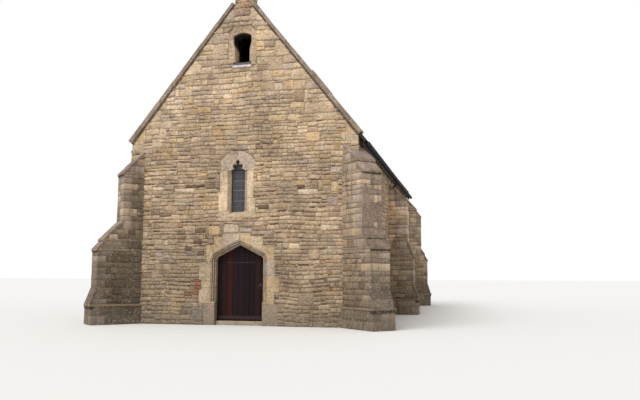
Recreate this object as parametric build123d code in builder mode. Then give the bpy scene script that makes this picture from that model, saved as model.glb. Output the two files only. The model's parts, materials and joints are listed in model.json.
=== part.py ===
from build123d import *
import os
from math import atan2, cos, degrees, radians, sin, tan

# A small chapel of rubble stone with a steep coped gable, a moulded doorway, cusped windows and buttresses.
# Millimetres. X runs across the front, Y from front to back and Z up.
# The origin lies on the ground at the middle of the plan, and the front faces -Y.

# Main walls
WIDTH = 7200
LENGTH = 14400
WALL = 800
GABLE_FOOT_Z = 5550
APEX_Z = 10150
FLOOR_TOP = 120
FRONT_SPLIT_Z = 2700
CUT_MARGIN = 10

# Roof
COVERING = 90
EAVE_REACH = 180
RAFTER_DEPTH = 120
RAFTER_WIDTH = 110
RAFTER_FOOT_REACH = 140
RAFTER_COUPLES = 25
RAFTER_END_GAP = 45
RAFTER_SEAT_GAP = 5
PLATE_WIDTH = 200
PLATE_HEIGHT = 150
PLATE_SETBACK = 50
COLLAR_DROP = 2350
COLLAR_HEIGHT = 150
COLLAR_WIDTH = 100
PURLIN_WIDTH = 150
PURLIN_HEIGHT = 180
TIE_HEIGHT = 280
TIE_WIDTH = 240
TIE_COVER_GAP = 10
TIE_END_SETBACK = 100
TIE_BEAM_GAPS = (-8, 0, 8)
CROWN_POST_WIDTH = 200
RIDGE_REACH = 190
RIDGE_THICKNESS = 45

# Coping stones, their footstones and the saddle stone at each apex
COPING = 150
COPING_AT_TOP = 110
COPING_WIDTH = 380
COPING_OVERHANG = 60
KNEELER_LENGTH = 380
SADDLE_LEFT = 250
SADDLE_RIGHT = 360
SADDLE_SHOULDER = 190
SADDLE_TOP = 185

# Eaves
FASCIA = 20
FASCIA_FOOT_Z = 5200
FASCIA_TOP_GAP = 8
GUTTER_RADIUS = 72
GUTTER_WALL = 6
GUTTER_DROP = 12
GUTTER_SETBACK = 240
BRACKET_WIDTH = 30
BRACKET_THICKNESS = 6
BRACKET_COUNT = 13
BRACKET_END = 280
PIPE_RADIUS = 38
PIPE_STANDOFF = 22
PIPE_FOOT_Z = 60
PIPE_GAP = 45
PIPE_DROP = 120
PIPE_OFFSET_Z = 4900
PIPE_BEND = 60

# Doorway
DOOR_HALF = 740
DOOR_APEX_Z = 2370
DOOR_LEG_ANGLE = radians(27)
HAUNCH_RADIUS = 110
MOULD_WIDTH = 140
MOULD_DEPTH = 72
MOULD_STEPS = 3
ROLL_RISE = 16.8
QUIRK = 9.6
MOULD_FOOT_Z = 680
DOOR_RECESS = 230
REBATE_GROWTH = 52
REBATE_DEPTH = 90
SURROUND_HALF = 1260
REAR_HALF = 860
REAR_STRAIGHT = 100
REAR_SPLAY = 100
LINTEL_FOOT_Z = 2480
LINTEL_HALF = 1160
STEP_SETBACK = 100

# Door leaf and its ironwork
LEAF_LAP = 40
LEAF_GAP = 5
LEAF_FOOT_GAP = 8
PLANK = 45
LEDGE = 30
LEDGE_HEIGHT = 170
LEDGE_INSET = 60
LEDGE_HEIGHTS = (480, 1150, 1780)
STRAP = 8
STRAP_HEIGHT = 55
STRAP_LENGTH = 1150
STRAP_LEDGES = (0, 2)
HINGE_INSET = 5
HINGE_STANDOFF = 27
PIN_RADIUS = 9
EYE_RADIUS = 17
EYE_CLEARANCE = 0.5
PIN_RISE = 12
ARM_HEIGHT = 22
PINTLE_PLATE = 6
PINTLE_PLATE_SIZE = 60
HANDLE_X = 610
HANDLE_Z = 1180
HANDLE_PLATE_RADIUS = 42
HANDLE_PLATE = 6
RING_RADIUS = 52
RING_WIRE = 7
RING_STANDOFF = 14
STAPLE_RADIUS = 6

# Windows, all of one pattern
LIGHT_HALF = 225
LIGHT_SPRING = 1230
CUSP_HALF = 145
CUSP_RISE = 60
SIDE_FOIL_X = 98
SIDE_FOIL_RISE = 130
SIDE_FOIL_RADIUS = 66
NECK_HALF = 42
TOP_FOIL_RISE = 260
TOP_FOIL_RADIUS = 58
JAMB_HALF = 590
JAMB_DEPTH = 300
JAMB_CHAMFER = 85
JAMB_CHAMFER_DEPTH = 45
HEAD_HALF = 545
HEAD_SHOULDER = 270
HEAD_RISE = 590
SILL_HEIGHT = 190
SILL_FALL = 80
GLASS_DEPTH = 165
GLASS = 12
SPLAY_START = 35
SPLAY_END = 260
SPLAY_FALL = 220
FRONT_WINDOW_X = -85
FRONT_SILL_Z = 3370
SIDE_SILL_Z = 2750
SIDE_WINDOW_SHIFT = 100
REAR_SILL_Z = 2950

# Bell opening
BELL_TOP_DROP = 1040
BELL_HALF = 240
BELL_LOBE_HALF = 290
BELL_RIM = 220
BELL_ARCH = 100
BELL_LOBE = 210
BELL_FLARE = 200
BELL_STEM = 410
BELL_SURROUND_HALF = 450
BELL_SURROUND_DEPTH = 420
BELL_REAR_HALF = 330
BELL_REAR_RISE = 110
BELL_SILL_HEIGHT = 180
BELL_SILL_HALF = 300
BELL_SILL_REACH = 55
BELL_SILL_EDGE = 60

# Buttresses: how far each stage stands out and where it ends; the left front one is slimmer at the top
BUTTRESS_WIDTH = 660
BASE_WIDTH = 750
BASE_TOP_Z = 600
PLINTH_SLOPE_TOP_Z = 1080
MID_FOOT_Z = 2180
MID_BREAK_Z = 2480
MID_TOP_Z = 2780
TOP_FOOT_Z = 4340
DRIP = 30
DRIP_HEIGHT = 60
CORNER_BASE = 1150
CORNER_LOWER = 1000
CORNER_MID = 820
CORNER_UPPER = 620
CORNER_TOP_BREAK = 330
CORNER_TOP_BREAK_Z = 4690
CORNER_TOP_Z = 5040
SLIM_UPPER = 300
SLIM_MID_TOP_Z = 3100
SLIM_TOP_FOOT_Z = 4540
SLIM_TOP_Z = 4950
SIDE_BASE = 1100
SIDE_LOWER = 930
SIDE_MID = 830
SIDE_UPPER = 720
SIDE_TOP_Z = 5020

# Values worked out from the sizes above
HALF_W = WIDTH / 2
HALF_L = LENGTH / 2
INNER_W = HALF_W - WALL
INNER_L = HALF_L - WALL
PITCH = atan2(APEX_Z - GABLE_FOOT_Z, HALF_W)
SLOPE = tan(PITCH)
RAFTER_FALL = RAFTER_DEPTH / cos(PITCH)
WALL_TOP_Z = GABLE_FOOT_Z - RAFTER_FALL - RAFTER_SEAT_GAP
PLATE_TOP_Z = WALL_TOP_Z + PLATE_HEIGHT
EAVE_X = HALF_W + EAVE_REACH
COVER_HALF_L = HALF_L + COPING_OVERHANG - COPING_WIDTH
LEAF_FACE_Y = -HALF_L + DOOR_RECESS + LEAF_GAP
LEAF_BACK_Y = LEAF_FACE_Y + PLANK + LEDGE
REBATE_FACE_Y = -HALF_L + DOOR_RECESS
SURROUND_BACK_Y = REBATE_FACE_Y + REBATE_DEPTH
HINGE_X = -(DOOR_HALF + LEAF_LAP - HINGE_INSET)
HINGE_Y = LEAF_BACK_Y + STRAP + HINGE_STANDOFF
LEAF_FOOT_Z = FLOOR_TOP + LEAF_FOOT_GAP
LIGHT_TOP = LIGHT_SPRING + TOP_FOIL_RISE + TOP_FOIL_RADIUS
SIDE_WINDOW_Y = HALF_L / 2 + SIDE_WINDOW_SHIFT
BELL_SURROUND_TOP_Z = APEX_Z - BELL_TOP_DROP
BELL_TOP_Z = BELL_SURROUND_TOP_Z - BELL_RIM
BELL_SPRING_Z = BELL_TOP_Z - BELL_ARCH
BELL_LOBE_Z = BELL_SPRING_Z - BELL_LOBE
BELL_NECK_Z = BELL_LOBE_Z - BELL_FLARE
BELL_FOOT_Z = BELL_NECK_Z - BELL_STEM
BELL_REAR_TOP_Z = BELL_TOP_Z + BELL_REAR_RISE
BELL_SILL_FOOT_Z = BELL_FOOT_Z - BELL_SILL_HEIGHT
BELL_BACK_Y = -HALF_L + BELL_SURROUND_DEPTH
COLLAR_Z = APEX_Z - COLLAR_DROP
RAFTER_RUN = 2 * (INNER_L - RAFTER_END_GAP) - RAFTER_WIDTH
RAFTER_SPACING = RAFTER_RUN / (RAFTER_COUPLES - 1)
BRACKET_SPACING = 2 * (COVER_HALF_L - BRACKET_END) / (BRACKET_COUNT - 1)
PIPE_Y = BASE_WIDTH / 2 + DRIP + PIPE_GAP

os.makedirs("parts", exist_ok=True)


def bed_z(x):
    """Height of the roof's bed plane at a distance x from the ridge line."""
    return APEX_Z - SLOPE * abs(x)


def block(x0, x1, y0, y1, z0, z1, mode=Mode.ADD):
    """A box between two limits on each axis, made in the open part."""
    with Locations(((x0 + x1) / 2, (y0 + y1) / 2, (z0 + z1) / 2)):
        return Box(x1 - x0, y1 - y0, z1 - z0, mode=mode)


def face_from(points):
    """A flat face through points, for a sketch on any plane."""
    with BuildSketch() as outline:
        with BuildLine():
            Polyline(*points, close=True)
        make_face()
    return outline.sketch


def across(points, y0, y1):
    """A solid with an outline in X and Z, running from y0 to y1."""
    with BuildPart() as bar:
        with BuildSketch(Plane.XZ.offset(-y0)):
            add(face_from(points))
        extrude(amount=-(y1 - y0))
    return bar.part


def door_outline(growth, foot_z):
    """The doorway's pointed outline, grown outwards by an even amount."""
    half = DOOR_HALF + growth
    apex_z = DOOR_APEX_Z + growth / cos(DOOR_LEG_ANGLE)
    corner_z = apex_z - half * tan(DOOR_LEG_ANGLE)
    with BuildSketch() as outline:
        with BuildLine():
            left = [(-half, foot_z), (-half, corner_z)]
            right = [(half, corner_z), (half, foot_z)]
            Polyline(left + [(0, apex_z)] + right, close=True)
        make_face()
        fillet(outline.vertices().group_by(Axis.Y)[1], HAUNCH_RADIUS + growth)
    return outline.sketch


def door_prism(growth, foot_z, y0, y1):
    """A solid with the doorway's outline between two depths."""
    with BuildPart() as prism:
        with BuildSketch(Plane.XZ.offset(-y0)):
            add(door_outline(growth, foot_z))
        extrude(amount=-(y1 - y0))
    return prism.part


def door_spring_z():
    """Height at which the door jambs end and the haunches begin."""
    corner_z = DOOR_APEX_Z - DOOR_HALF * tan(DOOR_LEG_ANGLE)
    turn = radians(90) - DOOR_LEG_ANGLE
    return corner_z - HAUNCH_RADIUS * tan(turn / 2)


def moulding_profile():
    """Rolls and quirks of the doorway in section, outwards from the clear edge and in from the face."""
    inner = MOULD_WIDTH / MOULD_STEPS
    outer = MOULD_WIDTH - inner
    shallow = MOULD_DEPTH / MOULD_STEPS
    deep = MOULD_DEPTH - shallow
    with BuildSketch() as profile:
        with BuildLine():
            Polyline(
                (MOULD_WIDTH, shallow - QUIRK),
                (MOULD_WIDTH, -CUT_MARGIN),
                (-CUT_MARGIN, -CUT_MARGIN),
                (-CUT_MARGIN, MOULD_DEPTH),
                (0, MOULD_DEPTH),
                (inner, MOULD_DEPTH - QUIRK),
                (inner, deep),
            )
            ThreePointArc((inner, deep), ((inner + outer) / 2, deep - ROLL_RISE), (outer, deep - QUIRK))
            Line((outer, deep - QUIRK), (outer, shallow))
            crown = ((outer + MOULD_WIDTH) / 2, shallow - ROLL_RISE)
            ThreePointArc((outer, shallow), crown, (MOULD_WIDTH, shallow - QUIRK))
        make_face()
    return profile.sketch


def moulding_void():
    """The hollow cut for the mouldings of the doorway's left half: jamb, haunch and leg past the apex."""
    spring_z = door_spring_z()
    turn = radians(90) - DOOR_LEG_ANGLE
    centre_x = HAUNCH_RADIUS - DOOR_HALF
    leg_start_x = centre_x - HAUNCH_RADIUS * cos(turn)
    leg_start_z = spring_z + HAUNCH_RADIUS * sin(turn)
    leg_length = (MOULD_WIDTH - leg_start_x) / cos(DOOR_LEG_ANGLE)
    leg_normal = (-sin(DOOR_LEG_ANGLE), 0, cos(DOOR_LEG_ANGLE))
    down_leg = (-cos(DOOR_LEG_ANGLE), 0, -sin(DOOR_LEG_ANGLE))
    with BuildPart() as void:
        foot = (-DOOR_HALF, -HALF_L, MOULD_FOOT_Z)
        with BuildSketch(Plane(origin=foot, x_dir=(-1, 0, 0), z_dir=(0, 0, -1))):
            add(moulding_profile())
        extrude(amount=-(spring_z - MOULD_FOOT_Z))
        with BuildSketch(Plane(origin=(-DOOR_HALF, -HALF_L, spring_z), x_dir=(-1, 0, 0), z_dir=(0, 0, -1))):
            add(moulding_profile())
        revolve(axis=Axis((centre_x, 0, spring_z), (0, 1, 0)), revolution_arc=degrees(turn))
        with BuildSketch(Plane(origin=(leg_start_x, -HALF_L, leg_start_z), x_dir=leg_normal, z_dir=down_leg)):
            add(moulding_profile())
        extrude(amount=-leg_length)
    return void.part


def light_outline():
    """One window light: straight jambs, shoulders, two side foils and a top foil, from its foot at 0."""
    with BuildSketch() as light:
        with Locations((0, LIGHT_SPRING / 2)):
            Rectangle(2 * LIGHT_HALF, LIGHT_SPRING)
        shoulder_z = LIGHT_SPRING + CUSP_RISE
        corners = [(-LIGHT_HALF, LIGHT_SPRING), (LIGHT_HALF, LIGHT_SPRING), (CUSP_HALF, shoulder_z)]
        add(face_from(corners + [(-CUSP_HALF, shoulder_z)]))
        with Locations((0, LIGHT_SPRING + SIDE_FOIL_RISE / 2)):
            Rectangle(2 * SIDE_FOIL_X, SIDE_FOIL_RISE)
        with Locations(*[(side * SIDE_FOIL_X, LIGHT_SPRING + SIDE_FOIL_RISE) for side in (-1, 1)]):
            Circle(SIDE_FOIL_RADIUS)
        with Locations((0, LIGHT_SPRING + (SIDE_FOIL_RISE + TOP_FOIL_RISE) / 2)):
            Rectangle(2 * NECK_HALF, TOP_FOIL_RISE - SIDE_FOIL_RISE)
        with Locations((0, LIGHT_SPRING + TOP_FOIL_RISE)):
            Circle(TOP_FOIL_RADIUS)
    return light.sketch


def head_outline():
    """The window's single head stone, with a round top."""
    foot = LIGHT_SPRING
    with BuildSketch() as head:
        with BuildLine():
            left = Line((-HEAD_HALF, foot), (-HEAD_HALF, foot + HEAD_SHOULDER))
            right = Line((HEAD_HALF, foot + HEAD_SHOULDER), (HEAD_HALF, foot))
            ThreePointArc(left @ 1, (0, foot + HEAD_RISE), right @ 0)
            Line(right @ 1, left @ 0)
        make_face()
    return head.sketch


def window_prism(outline, y0, y1):
    """A solid with a window outline between two depths behind the wall's face."""
    with BuildPart() as prism:
        with BuildSketch(Plane.XZ.offset(-y0)):
            add(outline)
        extrude(amount=-(y1 - y0))
    return prism.part


def window_void():
    """The hole in a wall for one window: the seat of its dressed stones and the splay behind them."""
    with BuildPart() as void:
        block(-JAMB_HALF, JAMB_HALF, 0, JAMB_DEPTH, -SILL_HEIGHT, LIGHT_SPRING)
        add(window_prism(head_outline(), 0, JAMB_DEPTH))
        top = LIGHT_TOP + SPLAY_START
        with BuildSketch(Plane.XZ.offset(-JAMB_DEPTH)):
            with Locations((0, top / 2)):
                Rectangle(2 * (LIGHT_HALF + SPLAY_START), top)
        with BuildSketch(Plane.XZ.offset(-WALL)):
            with Locations((0, (top - SPLAY_FALL) / 2)):
                Rectangle(2 * (LIGHT_HALF + SPLAY_END), top + SPLAY_FALL)
        loft()
    return void.part


def window_jambs():
    """The two dressed jambs of one window, chamfered at the light."""
    with BuildPart() as jambs:
        for side in (-1, 1):
            plan = [
                (side * JAMB_HALF, 0),
                (side * (LIGHT_HALF + JAMB_CHAMFER), 0),
                (side * LIGHT_HALF, JAMB_CHAMFER_DEPTH),
                (side * LIGHT_HALF, JAMB_DEPTH),
                (side * JAMB_HALF, JAMB_DEPTH),
            ]
            with BuildSketch():
                add(face_from(plan))
            extrude(amount=LIGHT_SPRING)
    return jambs.part


def window_head():
    """The cusped head stone of one window."""
    with BuildPart() as head:
        add(window_prism(head_outline(), 0, JAMB_DEPTH))
        add(window_prism(light_outline(), -CUT_MARGIN, JAMB_DEPTH + CUT_MARGIN), mode=Mode.SUBTRACT)
    return head.part


def window_sill():
    """The sill of one window, falling outwards from the glass."""
    profile = [
        (0, -SILL_HEIGHT),
        (0, -SILL_FALL),
        (GLASS_DEPTH, 0),
        (JAMB_DEPTH, 0),
        (JAMB_DEPTH, -SILL_HEIGHT),
    ]
    with BuildPart() as sill:
        with BuildSketch(Plane.YZ.offset(-LIGHT_HALF)):
            add(face_from(profile))
        extrude(amount=2 * LIGHT_HALF)
        for x0, x1 in ((-JAMB_HALF, -LIGHT_HALF), (LIGHT_HALF, JAMB_HALF)):
            block(x0, x1, 0, JAMB_DEPTH, -SILL_HEIGHT, 0)
    return sill.part


def window_glass():
    """The glazing of one window, a thin sheet with the light's own outline."""
    return window_prism(light_outline(), GLASS_DEPTH, GLASS_DEPTH + GLASS)


FRONT_WINDOW = Location((FRONT_WINDOW_X, -HALF_L, FRONT_SILL_Z))
REAR_WINDOW = Location((0, HALF_L, REAR_SILL_Z), (0, 0, 180))
LEFT_WINDOWS = [Location((-HALF_W, y, SIDE_SILL_Z), (0, 0, -90)) for y in (-SIDE_WINDOW_Y, SIDE_WINDOW_Y)]
RIGHT_WINDOWS = [Location((HALF_W, y, SIDE_SILL_Z), (0, 0, 90)) for y in (-SIDE_WINDOW_Y, SIDE_WINDOW_Y)]
NAVE_WINDOWS = LEFT_WINDOWS + RIGHT_WINDOWS + [REAR_WINDOW]


def place(shape, locations, mode=Mode.ADD):
    """Add or cut a shape at several places in the open part."""
    for location in locations:
        add(location * shape, mode=mode)


def gable_points(foot_z):
    """The outline of a gable wall from a given height up."""
    return [
        (-HALF_W, foot_z),
        (-HALF_W, GABLE_FOOT_Z),
        (0, APEX_Z),
        (HALF_W, GABLE_FOOT_Z),
        (HALF_W, foot_z),
    ]


def kneeler_points(side):
    """The footstone of a coping, seated on the wall top at the corner."""
    inner_x = HALF_W - KNEELER_LENGTH
    return [
        (side * inner_x, WALL_TOP_Z),
        (side * HALF_W, WALL_TOP_Z),
        (side * HALF_W, bed_z(HALF_W)),
        (side * inner_x, bed_z(inner_x)),
    ]


def coping_band(end):
    """Depths of the coping on the front gable (end -1) or the rear gable (end 1), low and high."""
    outer = end * (HALF_L + COPING_OVERHANG)
    inner = end * COVER_HALF_L
    return min(outer, inner), max(outer, inner)


def kneeler_band(end):
    """Depths of a footstone, flush with the wall's face outside and with the coping inside."""
    outer = end * HALF_L
    inner = end * COVER_HALF_L
    return min(outer, inner), max(outer, inner)


def place_kneelers(end, mode=Mode.ADD):
    """Add or cut both footstones of one gable in the open part."""
    for side in (-1, 1):
        add(across(kneeler_points(side), *kneeler_band(end)), mode=mode)


# Walls of the front, split beside and over the doorway
def front_wall(side):
    """The wall beside the doorway, rebated behind the dressed surround and splayed to the nave."""
    plan = [
        (side * HALF_W, -HALF_L),
        (side * SURROUND_HALF, -HALF_L),
        (side * SURROUND_HALF, SURROUND_BACK_Y),
        (side * REAR_HALF, SURROUND_BACK_Y),
        (side * REAR_HALF, SURROUND_BACK_Y + REAR_STRAIGHT),
        (side * (REAR_HALF + REAR_SPLAY), -INNER_L),
        (side * HALF_W, -INNER_L),
    ]
    with BuildPart() as wall:
        with BuildSketch():
            add(face_from(plan))
        extrude(amount=FRONT_SPLIT_Z)
        lintel = (-LINTEL_HALF, LINTEL_HALF, SURROUND_BACK_Y, -INNER_L, LINTEL_FOOT_Z, FRONT_SPLIT_Z)
        block(*lintel, Mode.SUBTRACT)
    return wall.part


with BuildPart() as front_wall_left:
    add(front_wall(-1))
front_wall_left.part.label = "front_wall_left"
export_step(front_wall_left.part, "parts/front_wall_left.step")

with BuildPart() as front_wall_right:
    add(front_wall(1))
front_wall_right.part.label = "front_wall_right"
export_step(front_wall_right.part, "parts/front_wall_right.step")


def bell_outline():
    """The keyhole shape of the bell opening."""
    with BuildSketch() as outline:
        with BuildLine():
            Polyline(
                (BELL_LOBE_HALF, BELL_SPRING_Z),
                (BELL_LOBE_HALF, BELL_LOBE_Z),
                (BELL_HALF, BELL_NECK_Z),
                (BELL_HALF, BELL_FOOT_Z),
                (-BELL_HALF, BELL_FOOT_Z),
                (-BELL_HALF, BELL_NECK_Z),
                (-BELL_LOBE_HALF, BELL_LOBE_Z),
                (-BELL_LOBE_HALF, BELL_SPRING_Z),
            )
            ThreePointArc((-BELL_LOBE_HALF, BELL_SPRING_Z), (0, BELL_TOP_Z), (BELL_LOBE_HALF, BELL_SPRING_Z))
        make_face()
    return outline.sketch


with BuildPart() as front_gable:
    add(across(gable_points(FRONT_SPLIT_Z), -HALF_L, -INNER_L))
    place(window_void(), [FRONT_WINDOW], Mode.SUBTRACT)
    bell_width = (-BELL_SURROUND_HALF, BELL_SURROUND_HALF)
    block(*bell_width, -HALF_L, BELL_BACK_Y, BELL_FOOT_Z, BELL_SURROUND_TOP_Z, Mode.SUBTRACT)
    block(-BELL_SILL_HALF, BELL_SILL_HALF, -HALF_L, BELL_BACK_Y, BELL_SILL_FOOT_Z, BELL_FOOT_Z, Mode.SUBTRACT)
    block(-BELL_REAR_HALF, BELL_REAR_HALF, BELL_BACK_Y, -INNER_L, BELL_FOOT_Z, BELL_REAR_TOP_Z, Mode.SUBTRACT)
    place_kneelers(-1, Mode.SUBTRACT)
front_gable.part.label = "front_gable"
export_step(front_gable.part, "parts/front_gable.step")

with BuildPart() as rear_wall:
    add(across(gable_points(0), INNER_L, HALF_L))
    place(window_void(), [REAR_WINDOW], Mode.SUBTRACT)
    place_kneelers(1, Mode.SUBTRACT)
rear_wall.part.label = "rear_wall"
export_step(rear_wall.part, "parts/rear_wall.step")

with BuildPart() as left_wall:
    block(-HALF_W, -INNER_W, -INNER_L, INNER_L, 0, WALL_TOP_Z)
    place(window_void(), LEFT_WINDOWS, Mode.SUBTRACT)
left_wall.part.label = "left_wall"
export_step(left_wall.part, "parts/left_wall.step")

with BuildPart() as right_wall:
    block(INNER_W, HALF_W, -INNER_L, INNER_L, 0, WALL_TOP_Z)
    place(window_void(), RIGHT_WINDOWS, Mode.SUBTRACT)
right_wall.part.label = "right_wall"
export_step(right_wall.part, "parts/right_wall.step")

# Floor and threshold
with BuildPart() as floor:
    block(-INNER_W, INNER_W, -INNER_L, INNER_L, 0, FLOOR_TOP)
floor.part.label = "floor"
export_step(floor.part, "parts/floor.step")

with BuildPart() as door_step:
    block(-DOOR_HALF, DOOR_HALF, -HALF_L + STEP_SETBACK, -INNER_L, 0, FLOOR_TOP)
door_step.part.label = "door_step"
export_step(door_step.part, "parts/door_step.step")

# Doorway: jambs, arch and the oak lintel behind it
SPRING_Z = door_spring_z()


def jamb(side):
    """One dressed door jamb, moulded outside and rebated for the leaf."""
    x_clear = side * DOOR_HALF
    x_rebate = side * (DOOR_HALF + REBATE_GROWTH)
    x_outer = side * SURROUND_HALF
    plan = [
        (x_outer, -HALF_L),
        (x_clear, -HALF_L),
        (x_clear, REBATE_FACE_Y),
        (x_rebate, REBATE_FACE_Y),
        (x_rebate, SURROUND_BACK_Y),
        (x_outer, SURROUND_BACK_Y),
    ]
    void = moulding_void()
    with BuildPart() as stone:
        with BuildSketch():
            add(face_from(plan))
        extrude(amount=SPRING_Z)
        add(void if side < 0 else mirror(void, about=Plane.YZ, mode=Mode.PRIVATE), mode=Mode.SUBTRACT)
    return stone.part


def arch_half(side):
    """Half of the door arch with its moulded edge and the rebate behind it."""
    x_outer = side * SURROUND_HALF
    void = moulding_void()
    with BuildPart() as stone:
        block(min(0, x_outer), max(0, x_outer), -HALF_L, SURROUND_BACK_Y, SPRING_Z, FRONT_SPLIT_Z)
        add(door_prism(0, 0, -HALF_L - CUT_MARGIN, REBATE_FACE_Y), mode=Mode.SUBTRACT)
        add(door_prism(REBATE_GROWTH, 0, REBATE_FACE_Y, SURROUND_BACK_Y + CUT_MARGIN), mode=Mode.SUBTRACT)
        add(void if side < 0 else mirror(void, about=Plane.YZ, mode=Mode.PRIVATE), mode=Mode.SUBTRACT)
    return stone.part


with BuildPart() as doorway_jambs:
    add(jamb(-1))
    add(jamb(1))
doorway_jambs.part.label = "doorway_jambs"
export_step(doorway_jambs.part, "parts/doorway_jambs.step")

with BuildPart() as doorway_arch_left:
    add(arch_half(-1))
doorway_arch_left.part.label = "doorway_arch_left"
export_step(doorway_arch_left.part, "parts/doorway_arch_left.step")

with BuildPart() as doorway_arch_right:
    add(arch_half(1))
doorway_arch_right.part.label = "doorway_arch_right"
export_step(doorway_arch_right.part, "parts/doorway_arch_right.step")

with BuildPart() as doorway_lintel:
    block(-LINTEL_HALF, LINTEL_HALF, SURROUND_BACK_Y, -INNER_L, LINTEL_FOOT_Z, FRONT_SPLIT_Z)
doorway_lintel.part.label = "doorway_lintel"
export_step(doorway_lintel.part, "parts/doorway_lintel.step")

# Window dressings and glazing, the front window by itself and the five others by kind
with BuildPart() as front_window_jambs:
    place(window_jambs(), [FRONT_WINDOW])
front_window_jambs.part.label = "front_window_jambs"
export_step(front_window_jambs.part, "parts/front_window_jambs.step")

with BuildPart() as front_window_head:
    place(window_head(), [FRONT_WINDOW])
front_window_head.part.label = "front_window_head"
export_step(front_window_head.part, "parts/front_window_head.step")

with BuildPart() as front_window_sill:
    place(window_sill(), [FRONT_WINDOW])
front_window_sill.part.label = "front_window_sill"
export_step(front_window_sill.part, "parts/front_window_sill.step")

with BuildPart() as front_window_glass:
    place(window_glass(), [FRONT_WINDOW])
front_window_glass.part.label = "front_window_glass"
export_step(front_window_glass.part, "parts/front_window_glass.step")

with BuildPart() as nave_window_jambs:
    place(window_jambs(), NAVE_WINDOWS)
nave_window_jambs.part.label = "nave_window_jambs"
export_step(nave_window_jambs.part, "parts/nave_window_jambs.step")

with BuildPart() as nave_window_heads:
    place(window_head(), NAVE_WINDOWS)
nave_window_heads.part.label = "nave_window_heads"
export_step(nave_window_heads.part, "parts/nave_window_heads.step")

with BuildPart() as nave_window_sills:
    place(window_sill(), NAVE_WINDOWS)
nave_window_sills.part.label = "nave_window_sills"
export_step(nave_window_sills.part, "parts/nave_window_sills.step")

with BuildPart() as nave_window_glass:
    place(window_glass(), NAVE_WINDOWS)
nave_window_glass.part.label = "nave_window_glass"
export_step(nave_window_glass.part, "parts/nave_window_glass.step")

# Bell opening in the front gable
with BuildPart() as bell_surround:
    block(-BELL_SURROUND_HALF, BELL_SURROUND_HALF, -HALF_L, BELL_BACK_Y, BELL_FOOT_Z, BELL_SURROUND_TOP_Z)
    add(window_prism(bell_outline(), -HALF_L - CUT_MARGIN, BELL_BACK_Y + CUT_MARGIN), mode=Mode.SUBTRACT)
bell_surround.part.label = "bell_surround"
export_step(bell_surround.part, "parts/bell_surround.step")

with BuildPart() as bell_sill:
    sill_front = -HALF_L - BELL_SILL_REACH
    edge_top = BELL_SILL_FOOT_Z + BELL_SILL_EDGE
    sill_profile = [
        (-HALF_L, BELL_SILL_FOOT_Z),
        (sill_front, BELL_SILL_FOOT_Z),
        (sill_front, edge_top),
        (sill_front + BELL_FOOT_Z - edge_top, BELL_FOOT_Z),
        (BELL_BACK_Y, BELL_FOOT_Z),
        (BELL_BACK_Y, BELL_SILL_FOOT_Z),
    ]
    with BuildSketch(Plane.YZ.offset(-BELL_SILL_HALF)):
        add(face_from(sill_profile))
    extrude(amount=2 * BELL_SILL_HALF)
bell_sill.part.label = "bell_sill"
export_step(bell_sill.part, "parts/bell_sill.step")


# Copings, footstones and saddle stones of both gables
COPING_TOP_RISE = COPING_AT_TOP / cos(PITCH)


def coping_points(side):
    """One raking coping, thinner at the saddle stone than at the corner, its foot cut square to the slope."""
    top_x = SADDLE_LEFT if side < 0 else SADDLE_RIGHT
    foot_x = HALF_W + COPING * sin(PITCH)
    foot_z = GABLE_FOOT_Z + COPING * cos(PITCH)
    return [
        (side * top_x, bed_z(top_x)),
        (side * top_x, bed_z(top_x) + COPING_TOP_RISE),
        (side * foot_x, foot_z),
        (side * HALF_W, GABLE_FOOT_Z),
    ]


def saddle_points():
    """The apex stone: seated on both slopes, upright at its two uneven shoulders and ridged on top."""
    return [
        (-SADDLE_LEFT, bed_z(SADDLE_LEFT)),
        (-SADDLE_LEFT, bed_z(SADDLE_LEFT) + COPING_TOP_RISE + SADDLE_SHOULDER),
        (0, APEX_Z + COPING_TOP_RISE + SADDLE_TOP),
        (SADDLE_RIGHT, bed_z(SADDLE_RIGHT) + COPING_TOP_RISE + SADDLE_SHOULDER),
        (SADDLE_RIGHT, bed_z(SADDLE_RIGHT)),
        (0, APEX_Z),
    ]


with BuildPart() as front_coping_left:
    add(across(coping_points(-1), *coping_band(-1)))
front_coping_left.part.label = "front_coping_left"
export_step(front_coping_left.part, "parts/front_coping_left.step")

with BuildPart() as front_coping_right:
    add(across(coping_points(1), *coping_band(-1)))
front_coping_right.part.label = "front_coping_right"
export_step(front_coping_right.part, "parts/front_coping_right.step")

with BuildPart() as rear_copings:
    for side in (-1, 1):
        add(across(coping_points(side), *coping_band(1)))
rear_copings.part.label = "rear_copings"
export_step(rear_copings.part, "parts/rear_copings.step")

with BuildPart() as kneelers:
    place_kneelers(-1)
    place_kneelers(1)
kneelers.part.label = "kneelers"
export_step(kneelers.part, "parts/kneelers.step")

with BuildPart() as saddle_stones:
    for end in (-1, 1):
        add(across(saddle_points(), *coping_band(end)))
saddle_stones.part.label = "saddle_stones"
export_step(saddle_stones.part, "parts/saddle_stones.step")


# Buttresses
def stage_profile(base, lower, mid, upper, mid_top_z, top_foot_z, top):
    """Side outline of a buttress: its reaches, the heights of its upper stage, and its top weathering."""
    return [
        (base, 0),
        (base, BASE_TOP_Z - DRIP_HEIGHT),
        (base + DRIP, BASE_TOP_Z - DRIP_HEIGHT),
        (base + DRIP, BASE_TOP_Z),
        (lower, PLINTH_SLOPE_TOP_Z),
        (lower, MID_FOOT_Z),
        (lower + DRIP, MID_FOOT_Z),
        (lower + DRIP, MID_FOOT_Z + DRIP_HEIGHT),
        (mid, MID_BREAK_Z),
        (mid + DRIP, MID_BREAK_Z),
        (mid + DRIP, MID_BREAK_Z + DRIP_HEIGHT),
        (upper, mid_top_z),
        (upper, top_foot_z),
        (upper + DRIP, top_foot_z),
        (upper + DRIP, top_foot_z + DRIP_HEIGHT),
    ] + top


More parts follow.
